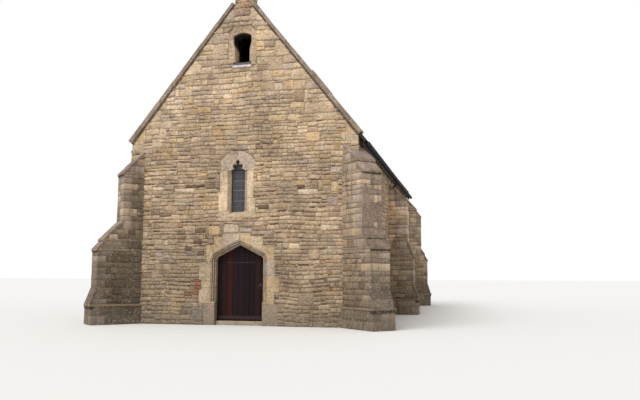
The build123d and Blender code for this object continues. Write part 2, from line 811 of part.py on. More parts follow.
def buttress(profile):
    """A buttress standing out along +X from the origin, its base wider than its stages."""
    back = profile[-1][0]
    outline = profile + [(back, 0)]
    with BuildPart() as stone:
        with BuildSketch(Plane.XZ.offset(-BUTTRESS_WIDTH / 2)):
            add(face_from(outline))
        extrude(amount=BUTTRESS_WIDTH)
        base_reach = profile[0][0]
        block(back, base_reach, -BASE_WIDTH / 2, BASE_WIDTH / 2, 0, BASE_TOP_Z - DRIP_HEIGHT)
        lip = [(back, BASE_TOP_Z - DRIP_HEIGHT), (base_reach + DRIP, BASE_TOP_Z - DRIP_HEIGHT)]
        lip += [(base_reach + DRIP, BASE_TOP_Z), (back, BASE_TOP_Z)]
        with BuildSketch(Plane.XZ.offset(-BASE_WIDTH / 2 - DRIP)):
            add(face_from(lip))
        extrude(amount=BASE_WIDTH + 2 * DRIP)
    return stone.part


def corner_buttress():
    """A diagonal buttress in its own frame, with the wall corner at the origin."""
    fall = (CORNER_TOP_Z - CORNER_TOP_BREAK_Z - DRIP_HEIGHT) / (CORNER_TOP_BREAK + DRIP)
    end_z = CORNER_TOP_Z + fall * BUTTRESS_WIDTH / 2
    top = [
        (CORNER_TOP_BREAK, CORNER_TOP_BREAK_Z),
        (CORNER_TOP_BREAK + DRIP, CORNER_TOP_BREAK_Z),
        (CORNER_TOP_BREAK + DRIP, CORNER_TOP_BREAK_Z + DRIP_HEIGHT),
        (-BUTTRESS_WIDTH / 2, end_z),
        (-BASE_WIDTH, end_z),
    ]
    reaches = (CORNER_BASE, CORNER_LOWER, CORNER_MID, CORNER_UPPER)
    return buttress(stage_profile(*reaches, MID_TOP_Z, TOP_FOOT_Z, top))


def slim_buttress():
    """The left front buttress in its own frame: a slimmer upper stage under one steep weathering."""
    fall = (SLIM_TOP_Z - SLIM_TOP_FOOT_Z - DRIP_HEIGHT) / (SLIM_UPPER + DRIP)
    end_z = SLIM_TOP_Z + fall * BUTTRESS_WIDTH / 2
    top = [(-BUTTRESS_WIDTH / 2, end_z), (-BASE_WIDTH, end_z)]
    reaches = (CORNER_BASE, CORNER_LOWER, CORNER_MID, SLIM_UPPER)
    return buttress(stage_profile(*reaches, SLIM_MID_TOP_Z, SLIM_TOP_FOOT_Z, top))


def side_buttress():
    """A mid-wall buttress in its own frame, with the wall's face at X = 0."""
    reaches = (SIDE_BASE, SIDE_LOWER, SIDE_MID, SIDE_UPPER)
    return buttress(stage_profile(*reaches, MID_TOP_Z, TOP_FOOT_Z, [(0, SIDE_TOP_Z)]))


def at_corner(shape, side, end):
    """A corner buttress turned and moved to its corner, cut back to the walls' faces."""
    turn = degrees(atan2(end, side))
    with BuildPart() as stone:
        add(Location((side * HALF_W, end * HALF_L, 0), (0, 0, turn)) * shape)
        block(-HALF_W, HALF_W, -HALF_L, HALF_L, -CUT_MARGIN, APEX_Z, Mode.SUBTRACT)
    return stone.part


with BuildPart() as front_buttress_left:
    add(at_corner(slim_buttress(), -1, -1))
front_buttress_left.part.label = "front_buttress_left"
export_step(front_buttress_left.part, "parts/front_buttress_left.step")

with BuildPart() as front_buttress_right:
    add(at_corner(corner_buttress(), 1, -1))
front_buttress_right.part.label = "front_buttress_right"
export_step(front_buttress_right.part, "parts/front_buttress_right.step")

with BuildPart() as rear_buttresses:
    for side in (-1, 1):
        add(at_corner(corner_buttress(), side, 1))
rear_buttresses.part.label = "rear_buttresses"
export_step(rear_buttresses.part, "parts/rear_buttresses.step")

with BuildPart() as side_buttresses:
    add(Location((HALF_W, 0, 0)) * side_buttress())
    add(Location((-HALF_W, 0, 0), (0, 0, 180)) * side_buttress())
side_buttresses.part.label = "side_buttresses"
export_step(side_buttresses.part, "parts/side_buttresses.step")


# Roof covering and ridge
def covering(side):
    """One slope of the roof covering between the copings, from the ridge to the eave."""
    rise = COVERING / cos(PITCH)
    points = [
        (0, APEX_Z),
        (0, APEX_Z + rise),
        (side * EAVE_X, bed_z(EAVE_X) + rise),
        (side * EAVE_X, bed_z(EAVE_X)),
    ]
    return across(points, -COVER_HALF_L, COVER_HALF_L)


with BuildPart() as roof_covering_left:
    add(covering(-1))
roof_covering_left.part.label = "roof_covering_left"
export_step(roof_covering_left.part, "parts/roof_covering_left.step")

with BuildPart() as roof_covering_right:
    add(covering(1))
    # The eave on this side runs on below the coping's foot to the front corner
    eave_end_points = [
        (HALF_W, GABLE_FOOT_Z),
        (HALF_W + COVERING * sin(PITCH), GABLE_FOOT_Z + COVERING * cos(PITCH)),
        (EAVE_X, bed_z(EAVE_X) + COVERING / cos(PITCH)),
        (EAVE_X, bed_z(EAVE_X)),
    ]
    add(across(eave_end_points, -HALF_L, -COVER_HALF_L))
roof_covering_right.part.label = "roof_covering_right"
export_step(roof_covering_right.part, "parts/roof_covering_right.step")

with BuildPart() as ridge:
    under = COVERING / cos(PITCH)
    over = (COVERING + RIDGE_THICKNESS) / cos(PITCH)
    ridge_points = [
        (-RIDGE_REACH, bed_z(RIDGE_REACH) + under),
        (0, APEX_Z + under),
        (RIDGE_REACH, bed_z(RIDGE_REACH) + under),
        (RIDGE_REACH, bed_z(RIDGE_REACH) + over),
        (0, APEX_Z + over),
        (-RIDGE_REACH, bed_z(RIDGE_REACH) + over),
    ]
    add(across(ridge_points, -COVER_HALF_L, COVER_HALF_L))
ridge.part.label = "ridge"
export_step(ridge.part, "parts/ridge.step")

# Roof timbers
RAFTER_YS = [(n - (RAFTER_COUPLES - 1) / 2) * RAFTER_SPACING for n in range(RAFTER_COUPLES)]
TIE_YS = [(n + 0.5) * RAFTER_SPACING for n in TIE_BEAM_GAPS]
PLATE_INNER_X = HALF_W - PLATE_SETBACK - PLATE_WIDTH
PLATE_OUTER_X = HALF_W - PLATE_SETBACK


def underside_x(z):
    """Distance from the ridge line at which the rafters' underside has a height z."""
    return (APEX_Z - RAFTER_FALL - z) / SLOPE


def rafter(side, y):
    """One common rafter, halved at the ridge, notched over the wall plate and cut plumb at its foot."""
    foot_x = HALF_W + RAFTER_FOOT_REACH
    points = [
        (0, APEX_Z),
        (side * foot_x, bed_z(foot_x)),
        (side * foot_x, bed_z(foot_x) - RAFTER_FALL),
        (0, APEX_Z - RAFTER_FALL),
    ]
    plate = sorted((side * PLATE_INNER_X, side * PLATE_OUTER_X))
    with BuildPart() as timber:
        add(across(points, y - RAFTER_WIDTH / 2, y + RAFTER_WIDTH / 2))
        block(plate[0], plate[1], y - RAFTER_WIDTH, y + RAFTER_WIDTH, WALL_TOP_Z, PLATE_TOP_Z, Mode.SUBTRACT)
    return timber.part


with BuildPart() as wall_plates:
    block(-PLATE_OUTER_X, -PLATE_INNER_X, -INNER_L, INNER_L, WALL_TOP_Z, PLATE_TOP_Z)
    block(PLATE_INNER_X, PLATE_OUTER_X, -INNER_L, INNER_L, WALL_TOP_Z, PLATE_TOP_Z)
wall_plates.part.label = "wall_plates"
export_step(wall_plates.part, "parts/wall_plates.step")

with BuildPart() as rafters_left:
    for y in RAFTER_YS:
        add(rafter(-1, y))
rafters_left.part.label = "rafters_left"
export_step(rafters_left.part, "parts/rafters_left.step")

with BuildPart() as rafters_right:
    for y in RAFTER_YS:
        add(rafter(1, y))
rafters_right.part.label = "rafters_right"
export_step(rafters_right.part, "parts/rafters_right.step")

with BuildPart() as collars:
    low_x = underside_x(COLLAR_Z)
    high_x = underside_x(COLLAR_Z + COLLAR_HEIGHT)
    collar_points = [
        (-low_x, COLLAR_Z),
        (low_x, COLLAR_Z),
        (high_x, COLLAR_Z + COLLAR_HEIGHT),
        (-high_x, COLLAR_Z + COLLAR_HEIGHT),
    ]
    for y in RAFTER_YS:
        add(across(collar_points, y - COLLAR_WIDTH / 2, y + COLLAR_WIDTH / 2))
collars.part.label = "collars"
export_step(collars.part, "parts/collars.step")

with BuildPart() as collar_purlin:
    half = PURLIN_WIDTH / 2
    block(-half, half, -INNER_L, INNER_L, COLLAR_Z - PURLIN_HEIGHT, COLLAR_Z)
collar_purlin.part.label = "collar_purlin"
export_step(collar_purlin.part, "parts/collar_purlin.step")

with BuildPart() as tie_beams:
    end_x = HALF_W - TIE_END_SETBACK
    tie_top_z = PLATE_TOP_Z + TIE_HEIGHT
    cut_x = (APEX_Z - TIE_COVER_GAP - tie_top_z) / SLOPE
    tie_points = [
        (-end_x, PLATE_TOP_Z),
        (-end_x, bed_z(end_x) - TIE_COVER_GAP),
        (-cut_x, tie_top_z),
        (cut_x, tie_top_z),
        (end_x, bed_z(end_x) - TIE_COVER_GAP),
        (end_x, PLATE_TOP_Z),
    ]
    for y in TIE_YS:
        add(across(tie_points, y - TIE_WIDTH / 2, y + TIE_WIDTH / 2))
tie_beams.part.label = "tie_beams"
export_step(tie_beams.part, "parts/tie_beams.step")

with BuildPart() as crown_posts:
    post_foot = PLATE_TOP_Z + TIE_HEIGHT
    post_top = COLLAR_Z - PURLIN_HEIGHT
    with BuildSketch(Plane.XY.offset(post_foot)):
        with Locations(*[(0, y) for y in TIE_YS]):
            RegularPolygon(CROWN_POST_WIDTH / 2, 8, major_radius=False, rotation=22.5)
    extrude(amount=post_top - post_foot)
crown_posts.part.label = "crown_posts"
export_step(crown_posts.part, "parts/crown_posts.step")

# Eaves: fascias, gutters with their brackets, and two rainwater pipes
FASCIA_IN_X = HALF_W + RAFTER_FOOT_REACH
FASCIA_OUT_X = FASCIA_IN_X + FASCIA
FASCIA_TOP_Z = bed_z(FASCIA_OUT_X) - FASCIA_TOP_GAP
GUTTER_X = FASCIA_OUT_X + BRACKET_THICKNESS + GUTTER_RADIUS
GUTTER_Z = FASCIA_TOP_Z - GUTTER_DROP
PIPE_X = HALF_W + PIPE_STANDOFF + PIPE_RADIUS

with BuildPart() as fascias:
    block(-FASCIA_OUT_X, -FASCIA_IN_X, -COVER_HALF_L, COVER_HALF_L, FASCIA_FOOT_Z, FASCIA_TOP_Z)
    block(FASCIA_IN_X, FASCIA_OUT_X, -HALF_L, COVER_HALF_L, FASCIA_FOOT_Z, FASCIA_TOP_Z)
fascias.part.label = "fascias"
export_step(fascias.part, "parts/fascias.step")


def half_ring(outer, inner):
    """The lower half of a ring about the origin, in a sketch."""
    with BuildSketch() as ring:
        Circle(outer)
        Circle(inner, mode=Mode.SUBTRACT)
        with Locations((0, outer)):
            Rectangle(3 * outer, 2 * outer, mode=Mode.SUBTRACT)
    return ring.sketch


def trough(side, outer, inner, y0, y1):
    """A half-round channel along Y between two depths."""
    with BuildPart() as channel:
        with BuildSketch(Plane.XZ.offset(-y0)):
            with Locations((side * GUTTER_X, GUTTER_Z)):
                add(half_ring(outer, inner))
        extrude(amount=-(y1 - y0))
    return channel.part


BRACKET_YS = [(n - (BRACKET_COUNT - 1) / 2) * BRACKET_SPACING for n in range(BRACKET_COUNT)]

GUTTER_STARTS = {-1: GUTTER_SETBACK - COVER_HALF_L, 1: -HALF_L}

with BuildPart() as gutters:
    for side, start_y in GUTTER_STARTS.items():
        add(trough(side, GUTTER_RADIUS, GUTTER_RADIUS - GUTTER_WALL, start_y, COVER_HALF_L))
gutters.part.label = "gutters"
export_step(gutters.part, "parts/gutters.step")

with BuildPart() as gutter_brackets:
    for side in (-1, 1):
        for y in BRACKET_YS:
            half_width = BRACKET_WIDTH / 2
            add(trough(side, GUTTER_RADIUS + BRACKET_THICKNESS, GUTTER_RADIUS, y - half_width, y + half_width))
gutter_brackets.part.label = "gutter_brackets"
export_step(gutter_brackets.part, "parts/gutter_brackets.step")


def rainwater_pipe(side):
    """A round pipe from under the gutter, set back to the wall and down to its shoe."""
    outlet_z = GUTTER_Z - GUTTER_RADIUS
    with BuildPart() as pipe:
        with BuildLine(Plane.XZ.offset(-PIPE_Y)) as route:
            FilletPolyline(
                (side * GUTTER_X, outlet_z),
                (side * GUTTER_X, outlet_z - PIPE_DROP),
                (side * PIPE_X, PIPE_OFFSET_Z),
                (side * PIPE_X, PIPE_FOOT_Z),
                radius=PIPE_BEND,
            )
        with BuildSketch(Plane(origin=(side * GUTTER_X, PIPE_Y, outlet_z), z_dir=(0, 0, -1))):
            Circle(PIPE_RADIUS)
        sweep(path=route.wires()[0])
    return pipe.part


with BuildPart() as downpipes:
    for side in (-1, 1):
        add(rainwater_pipe(side))
downpipes.part.label = "downpipes"
export_step(downpipes.part, "parts/downpipes.step")

# Door leaf: planks with the doorway's outline, ledges across the back, straps, handle and pintles
with BuildPart() as door_leaf:
    add(door_prism(LEAF_LAP, LEAF_FOOT_Z, LEAF_FACE_Y, LEAF_FACE_Y + PLANK))
door_leaf.part.label = "door_leaf"
export_step(door_leaf.part, "parts/door_leaf.step")

LEDGE_HALF = DOOR_HALF + LEAF_LAP - LEDGE_INSET
LEDGE_FRONT_Y = LEAF_FACE_Y + PLANK

with BuildPart() as door_ledges:
    for z in LEDGE_HEIGHTS:
        block(-LEDGE_HALF, LEDGE_HALF, LEDGE_FRONT_Y, LEAF_BACK_Y, z - LEDGE_HEIGHT / 2, z + LEDGE_HEIGHT / 2)
door_ledges.part.label = "door_ledges"
export_step(door_ledges.part, "parts/door_ledges.step")


def strap(z):
    """A strap hinge on a ledge, bent back to an eye that turns on the pintle."""
    strap_back_y = LEAF_BACK_Y + STRAP
    foot_z = z - STRAP_HEIGHT / 2
    with BuildPart() as iron:
        block(HINGE_X, HINGE_X + STRAP_LENGTH, LEAF_BACK_Y, strap_back_y, foot_z, foot_z + STRAP_HEIGHT)
        block(HINGE_X - STRAP, HINGE_X + STRAP, LEAF_BACK_Y, HINGE_Y, foot_z, foot_z + STRAP_HEIGHT)
        with BuildSketch(Plane.XY.offset(foot_z)):
            with Locations((HINGE_X, HINGE_Y)):
                Circle(EYE_RADIUS)
        extrude(amount=STRAP_HEIGHT)
        with BuildSketch(Plane.XY.offset(foot_z)):
            with Locations((HINGE_X, HINGE_Y)):
                Circle(PIN_RADIUS + EYE_CLEARANCE)
        extrude(amount=STRAP_HEIGHT, mode=Mode.SUBTRACT)
    return iron.part


STRAP_ZS = [LEDGE_HEIGHTS[n] for n in STRAP_LEDGES]

with BuildPart() as door_straps:
    for z in STRAP_ZS:
        add(strap(z))
door_straps.part.label = "door_straps"
export_step(door_straps.part, "parts/door_straps.step")

with BuildPart() as door_handle:
    with BuildSketch(Plane.XZ.offset(-LEAF_FACE_Y)):
        with Locations((HANDLE_X, HANDLE_Z)):
            Circle(HANDLE_PLATE_RADIUS)
    extrude(amount=HANDLE_PLATE)
    ring_y = LEAF_FACE_Y - HANDLE_PLATE - RING_STANDOFF
    with BuildSketch(Plane.XZ.offset(-LEAF_FACE_Y)):
        with Locations((HANDLE_X, HANDLE_Z)):
            Circle(STAPLE_RADIUS)
    extrude(amount=HANDLE_PLATE + RING_STANDOFF + RING_WIRE)
    ring_plane = Plane(origin=(HANDLE_X, ring_y, HANDLE_Z - RING_RADIUS), x_dir=(1, 0, 0), z_dir=(0, -1, 0))
    with Locations(ring_plane):
        Torus(RING_RADIUS, RING_WIRE)
door_handle.part.label = "door_handle"
export_step(door_handle.part, "parts/door_handle.step")


def pintle(z):
    """A pin on an arm from the side of the rear opening, under one strap's eye."""
    foot_z = z - STRAP_HEIGHT / 2 - EYE_CLEARANCE - ARM_HEIGHT
    arm_top = foot_z + ARM_HEIGHT
    plate_half = PINTLE_PLATE_SIZE / 2
    with BuildPart() as iron:
        block(-REAR_HALF, HINGE_X + PIN_RADIUS, HINGE_Y - PIN_RADIUS, HINGE_Y + PIN_RADIUS, foot_z, arm_top)
        mid_z = foot_z + ARM_HEIGHT / 2
        plate_y = SURROUND_BACK_Y + REAR_STRAIGHT / 2
        block(
            -REAR_HALF,
            -REAR_HALF + PINTLE_PLATE,
            plate_y - plate_half,
            plate_y + plate_half,
            mid_z - plate_half,
            mid_z + plate_half,
        )
        with BuildSketch(Plane.XY.offset(arm_top)):
            with Locations((HINGE_X, HINGE_Y)):
                Circle(PIN_RADIUS)
        extrude(amount=STRAP_HEIGHT + PIN_RISE)
    return iron.part


with BuildPart() as door_pintles:
    for z in STRAP_ZS:
        add(pintle(z))
door_pintles.part.label = "door_pintles"
export_step(door_pintles.part, "parts/door_pintles.step")
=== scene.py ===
import math
import random

import bmesh
import bpy
from mathutils import Matrix, Vector, noise as field
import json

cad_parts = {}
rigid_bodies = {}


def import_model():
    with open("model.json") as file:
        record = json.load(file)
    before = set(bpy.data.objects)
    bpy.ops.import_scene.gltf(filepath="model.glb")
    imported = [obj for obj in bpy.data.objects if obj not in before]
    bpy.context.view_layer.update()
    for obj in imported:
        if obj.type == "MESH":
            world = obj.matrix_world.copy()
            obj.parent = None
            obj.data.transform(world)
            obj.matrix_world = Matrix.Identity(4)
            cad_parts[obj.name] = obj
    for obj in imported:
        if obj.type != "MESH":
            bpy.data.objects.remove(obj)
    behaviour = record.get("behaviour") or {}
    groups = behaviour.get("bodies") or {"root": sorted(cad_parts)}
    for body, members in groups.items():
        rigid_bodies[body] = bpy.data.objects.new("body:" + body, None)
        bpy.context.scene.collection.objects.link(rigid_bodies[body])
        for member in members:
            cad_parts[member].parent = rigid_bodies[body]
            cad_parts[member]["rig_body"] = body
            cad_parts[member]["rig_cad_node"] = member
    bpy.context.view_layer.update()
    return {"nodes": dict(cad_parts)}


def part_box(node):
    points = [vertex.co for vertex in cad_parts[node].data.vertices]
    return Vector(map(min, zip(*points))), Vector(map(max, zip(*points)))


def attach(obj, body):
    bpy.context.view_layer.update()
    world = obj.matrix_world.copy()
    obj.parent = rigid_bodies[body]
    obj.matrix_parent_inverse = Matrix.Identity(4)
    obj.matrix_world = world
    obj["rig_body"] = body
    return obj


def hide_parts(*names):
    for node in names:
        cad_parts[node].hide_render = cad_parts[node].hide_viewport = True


bl_info = {
    "name": "Small chapel",
    "version": (1, 0, 0),
    "blender": (4, 5, 0),
    "location": "3D View > Sidebar > Chapel",
    "description": "Lays the stones, slates, leads and boards of a small chapel over its plain solids",
    "category": "Object",
}

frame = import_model()

# Where the walls, gables, copings and eaves of the plain solids stand, in metres
WALL_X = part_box("right_wall")[1].x
FRONT_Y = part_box("front_gable")[0].y
REAR_Y = -FRONT_Y
APEX_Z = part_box("front_gable")[1].z
WALL_DEPTH = 0.8
KNEELER_FOOT_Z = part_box("kneelers")[0].z
COPING_FRONT_Y, COPING_BACK_Y = [corner.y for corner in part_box("front_coping_left")]
SADDLE_X = {-1: -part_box("front_coping_left")[1].x, 1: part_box("front_coping_right")[0].x}
EAVE_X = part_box("roof_covering_right")[1].x
GABLE_FOOT_Z = 5.55
SLOPE = (APEX_Z - GABLE_FOOT_Z) / WALL_X
PITCH = math.atan(SLOPE)
RAKE = WALL_X / math.cos(PITCH)
# How far inside the outer faces mortar gives way to limewash
LIMEWASH_MARGIN = 0.3
# Coping: thickness at the foot and at the top of a rake, and the usual lengths of its stones
COPING = 0.15
COPING_AT_TOP = 0.11
COPING_LENGTHS = (0.62, 0.95)
# Footstones of the coping: their beds, and what they take from the gable wall's face
KNEELER_LEVELS = (KNEELER_FOOT_Z - 0.01, 5.54, 6.3)
FOOTSTONE_WIDTH = 0.38
FOOTSTONE_TOP_Z = 6.1

# Windows of one pattern, placed by the middle of each sill line on its wall
WINDOW_LIGHT_HALF = 0.225
WINDOW_SPRING = 1.23
WINDOW_JAMB_HALF = 0.59
WINDOW_HEAD_HALF = 0.545
WINDOW_HEAD_SHOULDER = 0.27
WINDOW_HEAD_RISE = 0.59
WINDOW_SILL = 0.19
WINDOW_RIM = 0.03
GLASS_DEPTH = 0.165
SADDLE_BARS = (0.32, 0.64, 0.93)
CROSS_LEADS = (0.16, 0.48, 0.78, 1.08)
UPRIGHT_LEADS = (-0.066, 0.066)
FRONT_WINDOW = (-0.085, 3.37)
REAR_WINDOW = (0.0, 2.95)
SIDE_WINDOWS = ((-3.7, 2.75), (3.7, 2.75))

# Doorway: its clear outline, and the quirks between the rolls by their distance from it
DOOR_HALF = 0.74
DOOR_APEX_Z = 2.37
DOOR_LEG = math.radians(27)
DOOR_SPRING_Z = 1.9255
DOOR_HAUNCH = 0.11
DOOR_QUIRKS = (0.0467, 0.0933, 0.14)
SURROUND_TOP_Z = 2.7

# Door leaf: its lap behind the stone, and a point and a direction of the planes at its haunches
LEAF_LAP = 0.04
LEAF_HAUNCH = ((0.735, 1.988), (0.85, 0.53))
RUST_PLANK = 2
WARM_PLANKS = (1, 7)
# Half width, foot and top of the rail and the weatherboard
RAIL = (0.45, 1.832, 1.856)
WEATHERBOARD = (0.70, 0.16, 0.27)
BACKING_TOP_Z = 1.8

# Jamb stones on each side of an opening: foot, top and how far each reaches from the middle
WINDOW_COURSES = (
    (-1, ((0.0, 0.59, 0.59), (0.59, 0.83, 0.55), (0.83, WINDOW_SPRING, 0.56))),
    (1, ((0.0, 0.40, 0.575), (0.40, WINDOW_SPRING, 0.505))),
)
JAMB_COURSES = (
    (-1, ((0.0, 0.64, 1.09), (0.64, 1.09, 1.25), (1.09, 1.29, 1.16), (1.29, 1.87, 1.25),
          (1.87, DOOR_SPRING_Z, 1.04))),
    (1, ((0.0, 0.64, 1.22), (0.64, 0.98, 1.10), (0.98, 1.46, 1.25), (1.46, DOOR_SPRING_Z, 1.12))),
)
# Arch stones on each side: nearer and farther end from the middle, and top
ARCH_COURSES = (
    (-1, ((0.0, 0.53, SURROUND_TOP_Z), (0.53, 0.80, 2.60), (0.80, 1.04, 2.38))),
    (1, ((0.0, 0.36, SURROUND_TOP_Z), (0.36, 0.74, 2.62), (0.74, 1.10, 2.36))),
)

# Bell opening: its surround, sill and reveal, its beds above the foot, and where deep shade begins
BELL_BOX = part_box("bell_surround")
BELL_SILL_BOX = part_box("bell_sill")
BELL_REVEAL_HALF = 0.335
BELL_CHAMFER = 0.2
BELL_BEDS = (0.38, 0.72)
BELL_SHADE_Z = 8.45

# Buttresses: half width, half width of the base, and levels that all of them share
BUTTRESS_HALF = 0.33
BASE_HALF = 0.375
DRIP = 0.03
DRIP_HEIGHT = 0.06
BASE_TOP_Z = 0.6
PLINTH_TOP_Z = 1.08
MID_FOOT_Z = 2.18
MID_BREAK_Z = 2.48
# By kind: the stages' reach, top of the middle slope, foot of the top slope, and its ends and crests
BUTTRESS_KINDS = {
    "corner": ((1.15, 1.0, 0.82, 0.62), 2.78, 4.34, ((0.33, 4.69), (-0.33, 5.306))),
    "slim": ((1.15, 1.0, 0.82, 0.30), 3.10, 4.54, ((-0.33, 5.30),)),
    "side": ((1.1, 0.93, 0.83, 0.72), 2.78, 4.34, ((0.0, 5.02),)),
}
# Heights of the courses above the base and in it, and how deep the two blocks of a course run
BUTTRESS_COURSES = (0.13, 0.23)
BASE_COURSES = (0.24, 0.32)
BLOCK_DEPTHS = (0.42, 0.25)
# How light the end and the two sides of a buttress are: partly dirt and the stones' own tone, partly
# painted light and shade, as on the right side buttress, made lighter where the sun leaves it in shade
PLAIN_TONE = (1.1, 0.95, 0.95)
FRONT_LEFT_TONE = (1.05, 0.75, 0.5)
FRONT_RIGHT_TONE = (1.26, 0.95, 1.25)
SIDE_RIGHT_TONE = (1.3, 1.3, 1.1)
# The render patch on the end of one buttress: foot, top, and its upper edge across the end
PATCH_FOOT_Z = 2.82
PATCH_TOP_Z = 4.06
PATCH_EDGE = (
    (-0.34, 3.82), (-0.21, 4.05), (-0.08, 3.74), (-0.03, 3.46), (0.13, 3.44), (0.2, 3.54), (0.34, 3.56),
)

# Model stones: width and height of each rubble kind, variants of each, and the cube that blocks start from
RUBBLE_KINDS = ((0.34, 0.10), (0.27, 0.15), (0.24, 0.23), (0.52, 0.14))
RUBBLE_VARIANTS = 4
RUBBLE_DEPTH = 0.055
BLOCK_KIND = len(RUBBLE_KINDS) * RUBBLE_VARIANTS
COPING_KIND = BLOCK_KIND + 1
BLOCK_SIZE = 0.3
BLOCK_BEVEL = 0.007
SMOOTH_ANGLE = math.radians(25)

# Rubble: courses in a band, lengths of a run and of one tall stone, and how far rows differ in height
BAND_COURSES = (1.7, 3.0)
RUN_LENGTHS = (0.3, 0.85)
TALL_LENGTHS = (0.22, 0.48)
ROW_SWAY = 0.28
RUBBLE_FOOT_Z = 0.006
# How far courses rise and fall, and how far from a dressing they do so in full
WAVE_HEIGHT = 0.07
WAVE_DISTANCE = 0.5
# Share of stones over an open bed, whose dark fill paints the shade in the gap, and how far painted shade
# darkens faces that look down and painted light lightens faces that look up
OPEN_BEDS = {"gable": 0.3, "side": 0.2, "buttress": 0.15}
UNDER_SHADE = 0.72
SKY_LIGHT = 0.06

# How far mortar lies behind the face of dressed stones
MORTAR_DEPTH = 0.012

# Roof: its boarding's thickness, the slates' tails over the rafters, and the right eave's longer slates
BOARDING = 0.03
TAIL_HEIGHT = 0.066
EAVE_LAP = 0.02
EAVE_SLATES = (0.12, 0.2)

# Flagstones: how long and how wide they are laid
FLAG_DEPTHS = (0.45, 0.75)
FLAG_WIDTHS = (0.45, 1.0)

# Camera as fitted to the building's vanishing points and corners, and the direction of the light
CAMERA_PLACE = (6.74, -25.69, 1.466)
CAMERA_YAW, CAMERA_PITCH, CAMERA_ROLL = [math.radians(angle) for angle in (13.02, 6.55, 0.18)]
CAMERA_FOCUS = 657.27
PICTURE_WIDTH = 640
SENSOR_WIDTH = 36.0
SUN_TURN = (math.radians(36), 0, math.radians(-30))
SUN_SPREAD = math.radians(40)

# Where each random pattern starts
SEEDS = {
    "walls": 11, "buttresses": 41, "copings": 61, "footstones": 67, "doorway": 5, "windows": 7, "bell": 9,
    "slates": 81, "ridge": 85, "planks": 3, "flags": 13, "patch": 4,
}

# Shares that a stone finish sets: mottling, lichen, relief, layers, shaded gaps (sunk in the relief and
# darkened with painted shade) and dark streaks
STONE_SHARES = ("Mottle", "Lichen", "Grain", "Layers", "Shaded gaps", "Streaks")
STONE_FINISHES = {
    "Rubble stone": (0.55, 0.3, 1.6, 1.2, 0.5, 0.0),
    "Dressed stone": (0.55, 0.5, 0.9, 1.0, 0.15, 0.0),
    "Weathering stone": (0.42, 0.9, 1.2, 2.0, 0.3, 0.45),
    "Stone slate": (0.3, 0.35, 0.8, 1.0, 0.0, 0.0),
    "Damp mortar": (0.25, 0.3, 0.8, 4.0, 0.4, 0.0),
    "Mortar and limewash": (0.25, 0.1, 0.8, 4.0, 0.6, 0.0),
}
# Oak finishes: how light its pale and dark grain are, and the grain's scale along X, Y and Z
OAK_FINISHES = {
    "Oak along": (1.0, 0.45, (8.0, 0.7, 8.0)),
    "Oak across": (1.0, 0.45, (0.7, 8.0, 8.0)),
    "Oak upright": (1.0, 0.45, (3.0, 8.0, 1.2)),
    # The darkest oak, on the fascias and the eave's end board, is painted shade under the eaves
    "Dark oak": (0.3, 0.12, (8.0, 0.7, 8.0)),
}


def paint(code):
    """Linear colour of a six-figure sRGB code, with full cover."""
    parts = [int(code[n:n + 2], 16) / 255 for n in (0, 2, 4)]
    return tuple(((c + 0.055) / 1.055) ** 2.4 if c > 0.04045 else c / 12.92 for c in parts) + (1.0,)


def colour_property(name, code, description):
    """A colour setting with its default from an sRGB code."""
    return bpy.props.FloatVectorProperty(
        name=name, description=description, subtype="COLOR", size=4, min=0.0, max=1.0, default=paint(code)
    )


def length_property(name, value, description):
    """A length setting in metres."""
    return bpy.props.FloatProperty(
        name=name, description=description, default=value, min=0.0, unit="LENGTH"
    )


def strength_property(name, value, description):
    """A setting of how strong a light is."""
    return bpy.props.FloatProperty(name=name, description=description, default=value, min=0.0)


class ChapelStoneSettings(bpy.types.PropertyGroup):
    """Sizes and colours of the rubble and the dressed stone."""

    joint: length_property("Joint", 0.012, "Mortar left between two rubble stones")
    proud: length_property("Proud", 0.014, "How far the boldest stones stand out from the mortar")
    course: length_property("Course", 0.122, "Usual height of a rubble course")
    dressed_joint: length_property("Dressed joint", 0.006, "Mortar between two dressed stones")
    buff: colour_property("Buff", "C0A789", "Most of the walling")
    pale: colour_property("Pale", "CFB99B", "Fresh and dressed limestone")
    ochre: colour_property("Ochre", "C19E6F", "Yellow stones")
    brown: colour_property("Brown", "90765F", "Iron-rich stones")
    grey: colour_property("Grey", "978877", "Weathered stones")
    mauve: colour_property("Mauve", "A18675", "Pinkish stones")
    red: colour_property("Red", "A9714C", "A few burnt stones")
    lavender: colour_property("Lavender", "A8988D", "Bluish weathered dressings")
    mortar: colour_property("Mortar", "B3997A", "Lime mortar outside")
    limewash: colour_property("Limewash", "D8D0BE", "Wall faces inside")


class ChapelRoofSettings(bpy.types.PropertyGroup):
    """Sizes and colours of the roof."""

    eave_course: length_property("Eave course", 0.30, "Slate showing in the lowest course")
    ridge_course: length_property("Ridge course", 0.14, "Slate showing in the highest course")
    slate: length_property("Slate", 0.022, "Thickness of a stone slate")
    ridge_stone: length_property("Ridge stone", 0.6, "Usual length of a ridge stone")
    slate_brown: colour_property("Slate brown", "5C5146", "Stone slates")
    # Dark slates: mossy ones among the rest, and painted shade on the end of the right eave
    slate_grey: colour_property("Slate grey", "676056", "Weathered slates")
    slate_dark: colour_property("Slate dark", "463E36", "Mossy slates")
    oak: colour_property("Oak", "5E4732", "Roof timbers")


class ChapelDoorSettings(bpy.types.PropertyGroup):
    """Sizes and colours of the door and the windows."""

    plank: length_property("Plank", 0.173, "Usual width of a door plank")
    groove: length_property("Groove", 0.006, "Gap between planks")
    plum: colour_property("Plum", "1D1013", "Most of the door boards")
    rust: colour_property("Rust", "35140F", "One redder board")
    worn: colour_property("Worn", "6A5458", "Worn paint on the rail and the weatherboard")
    iron: colour_property("Iron", "2A2A2B", "Hinges and ring")
    lead: colour_property("Lead", "8E8A8E", "Leads and saddle bars")
    pane: colour_property("Pane", "48444E", "Old glass")


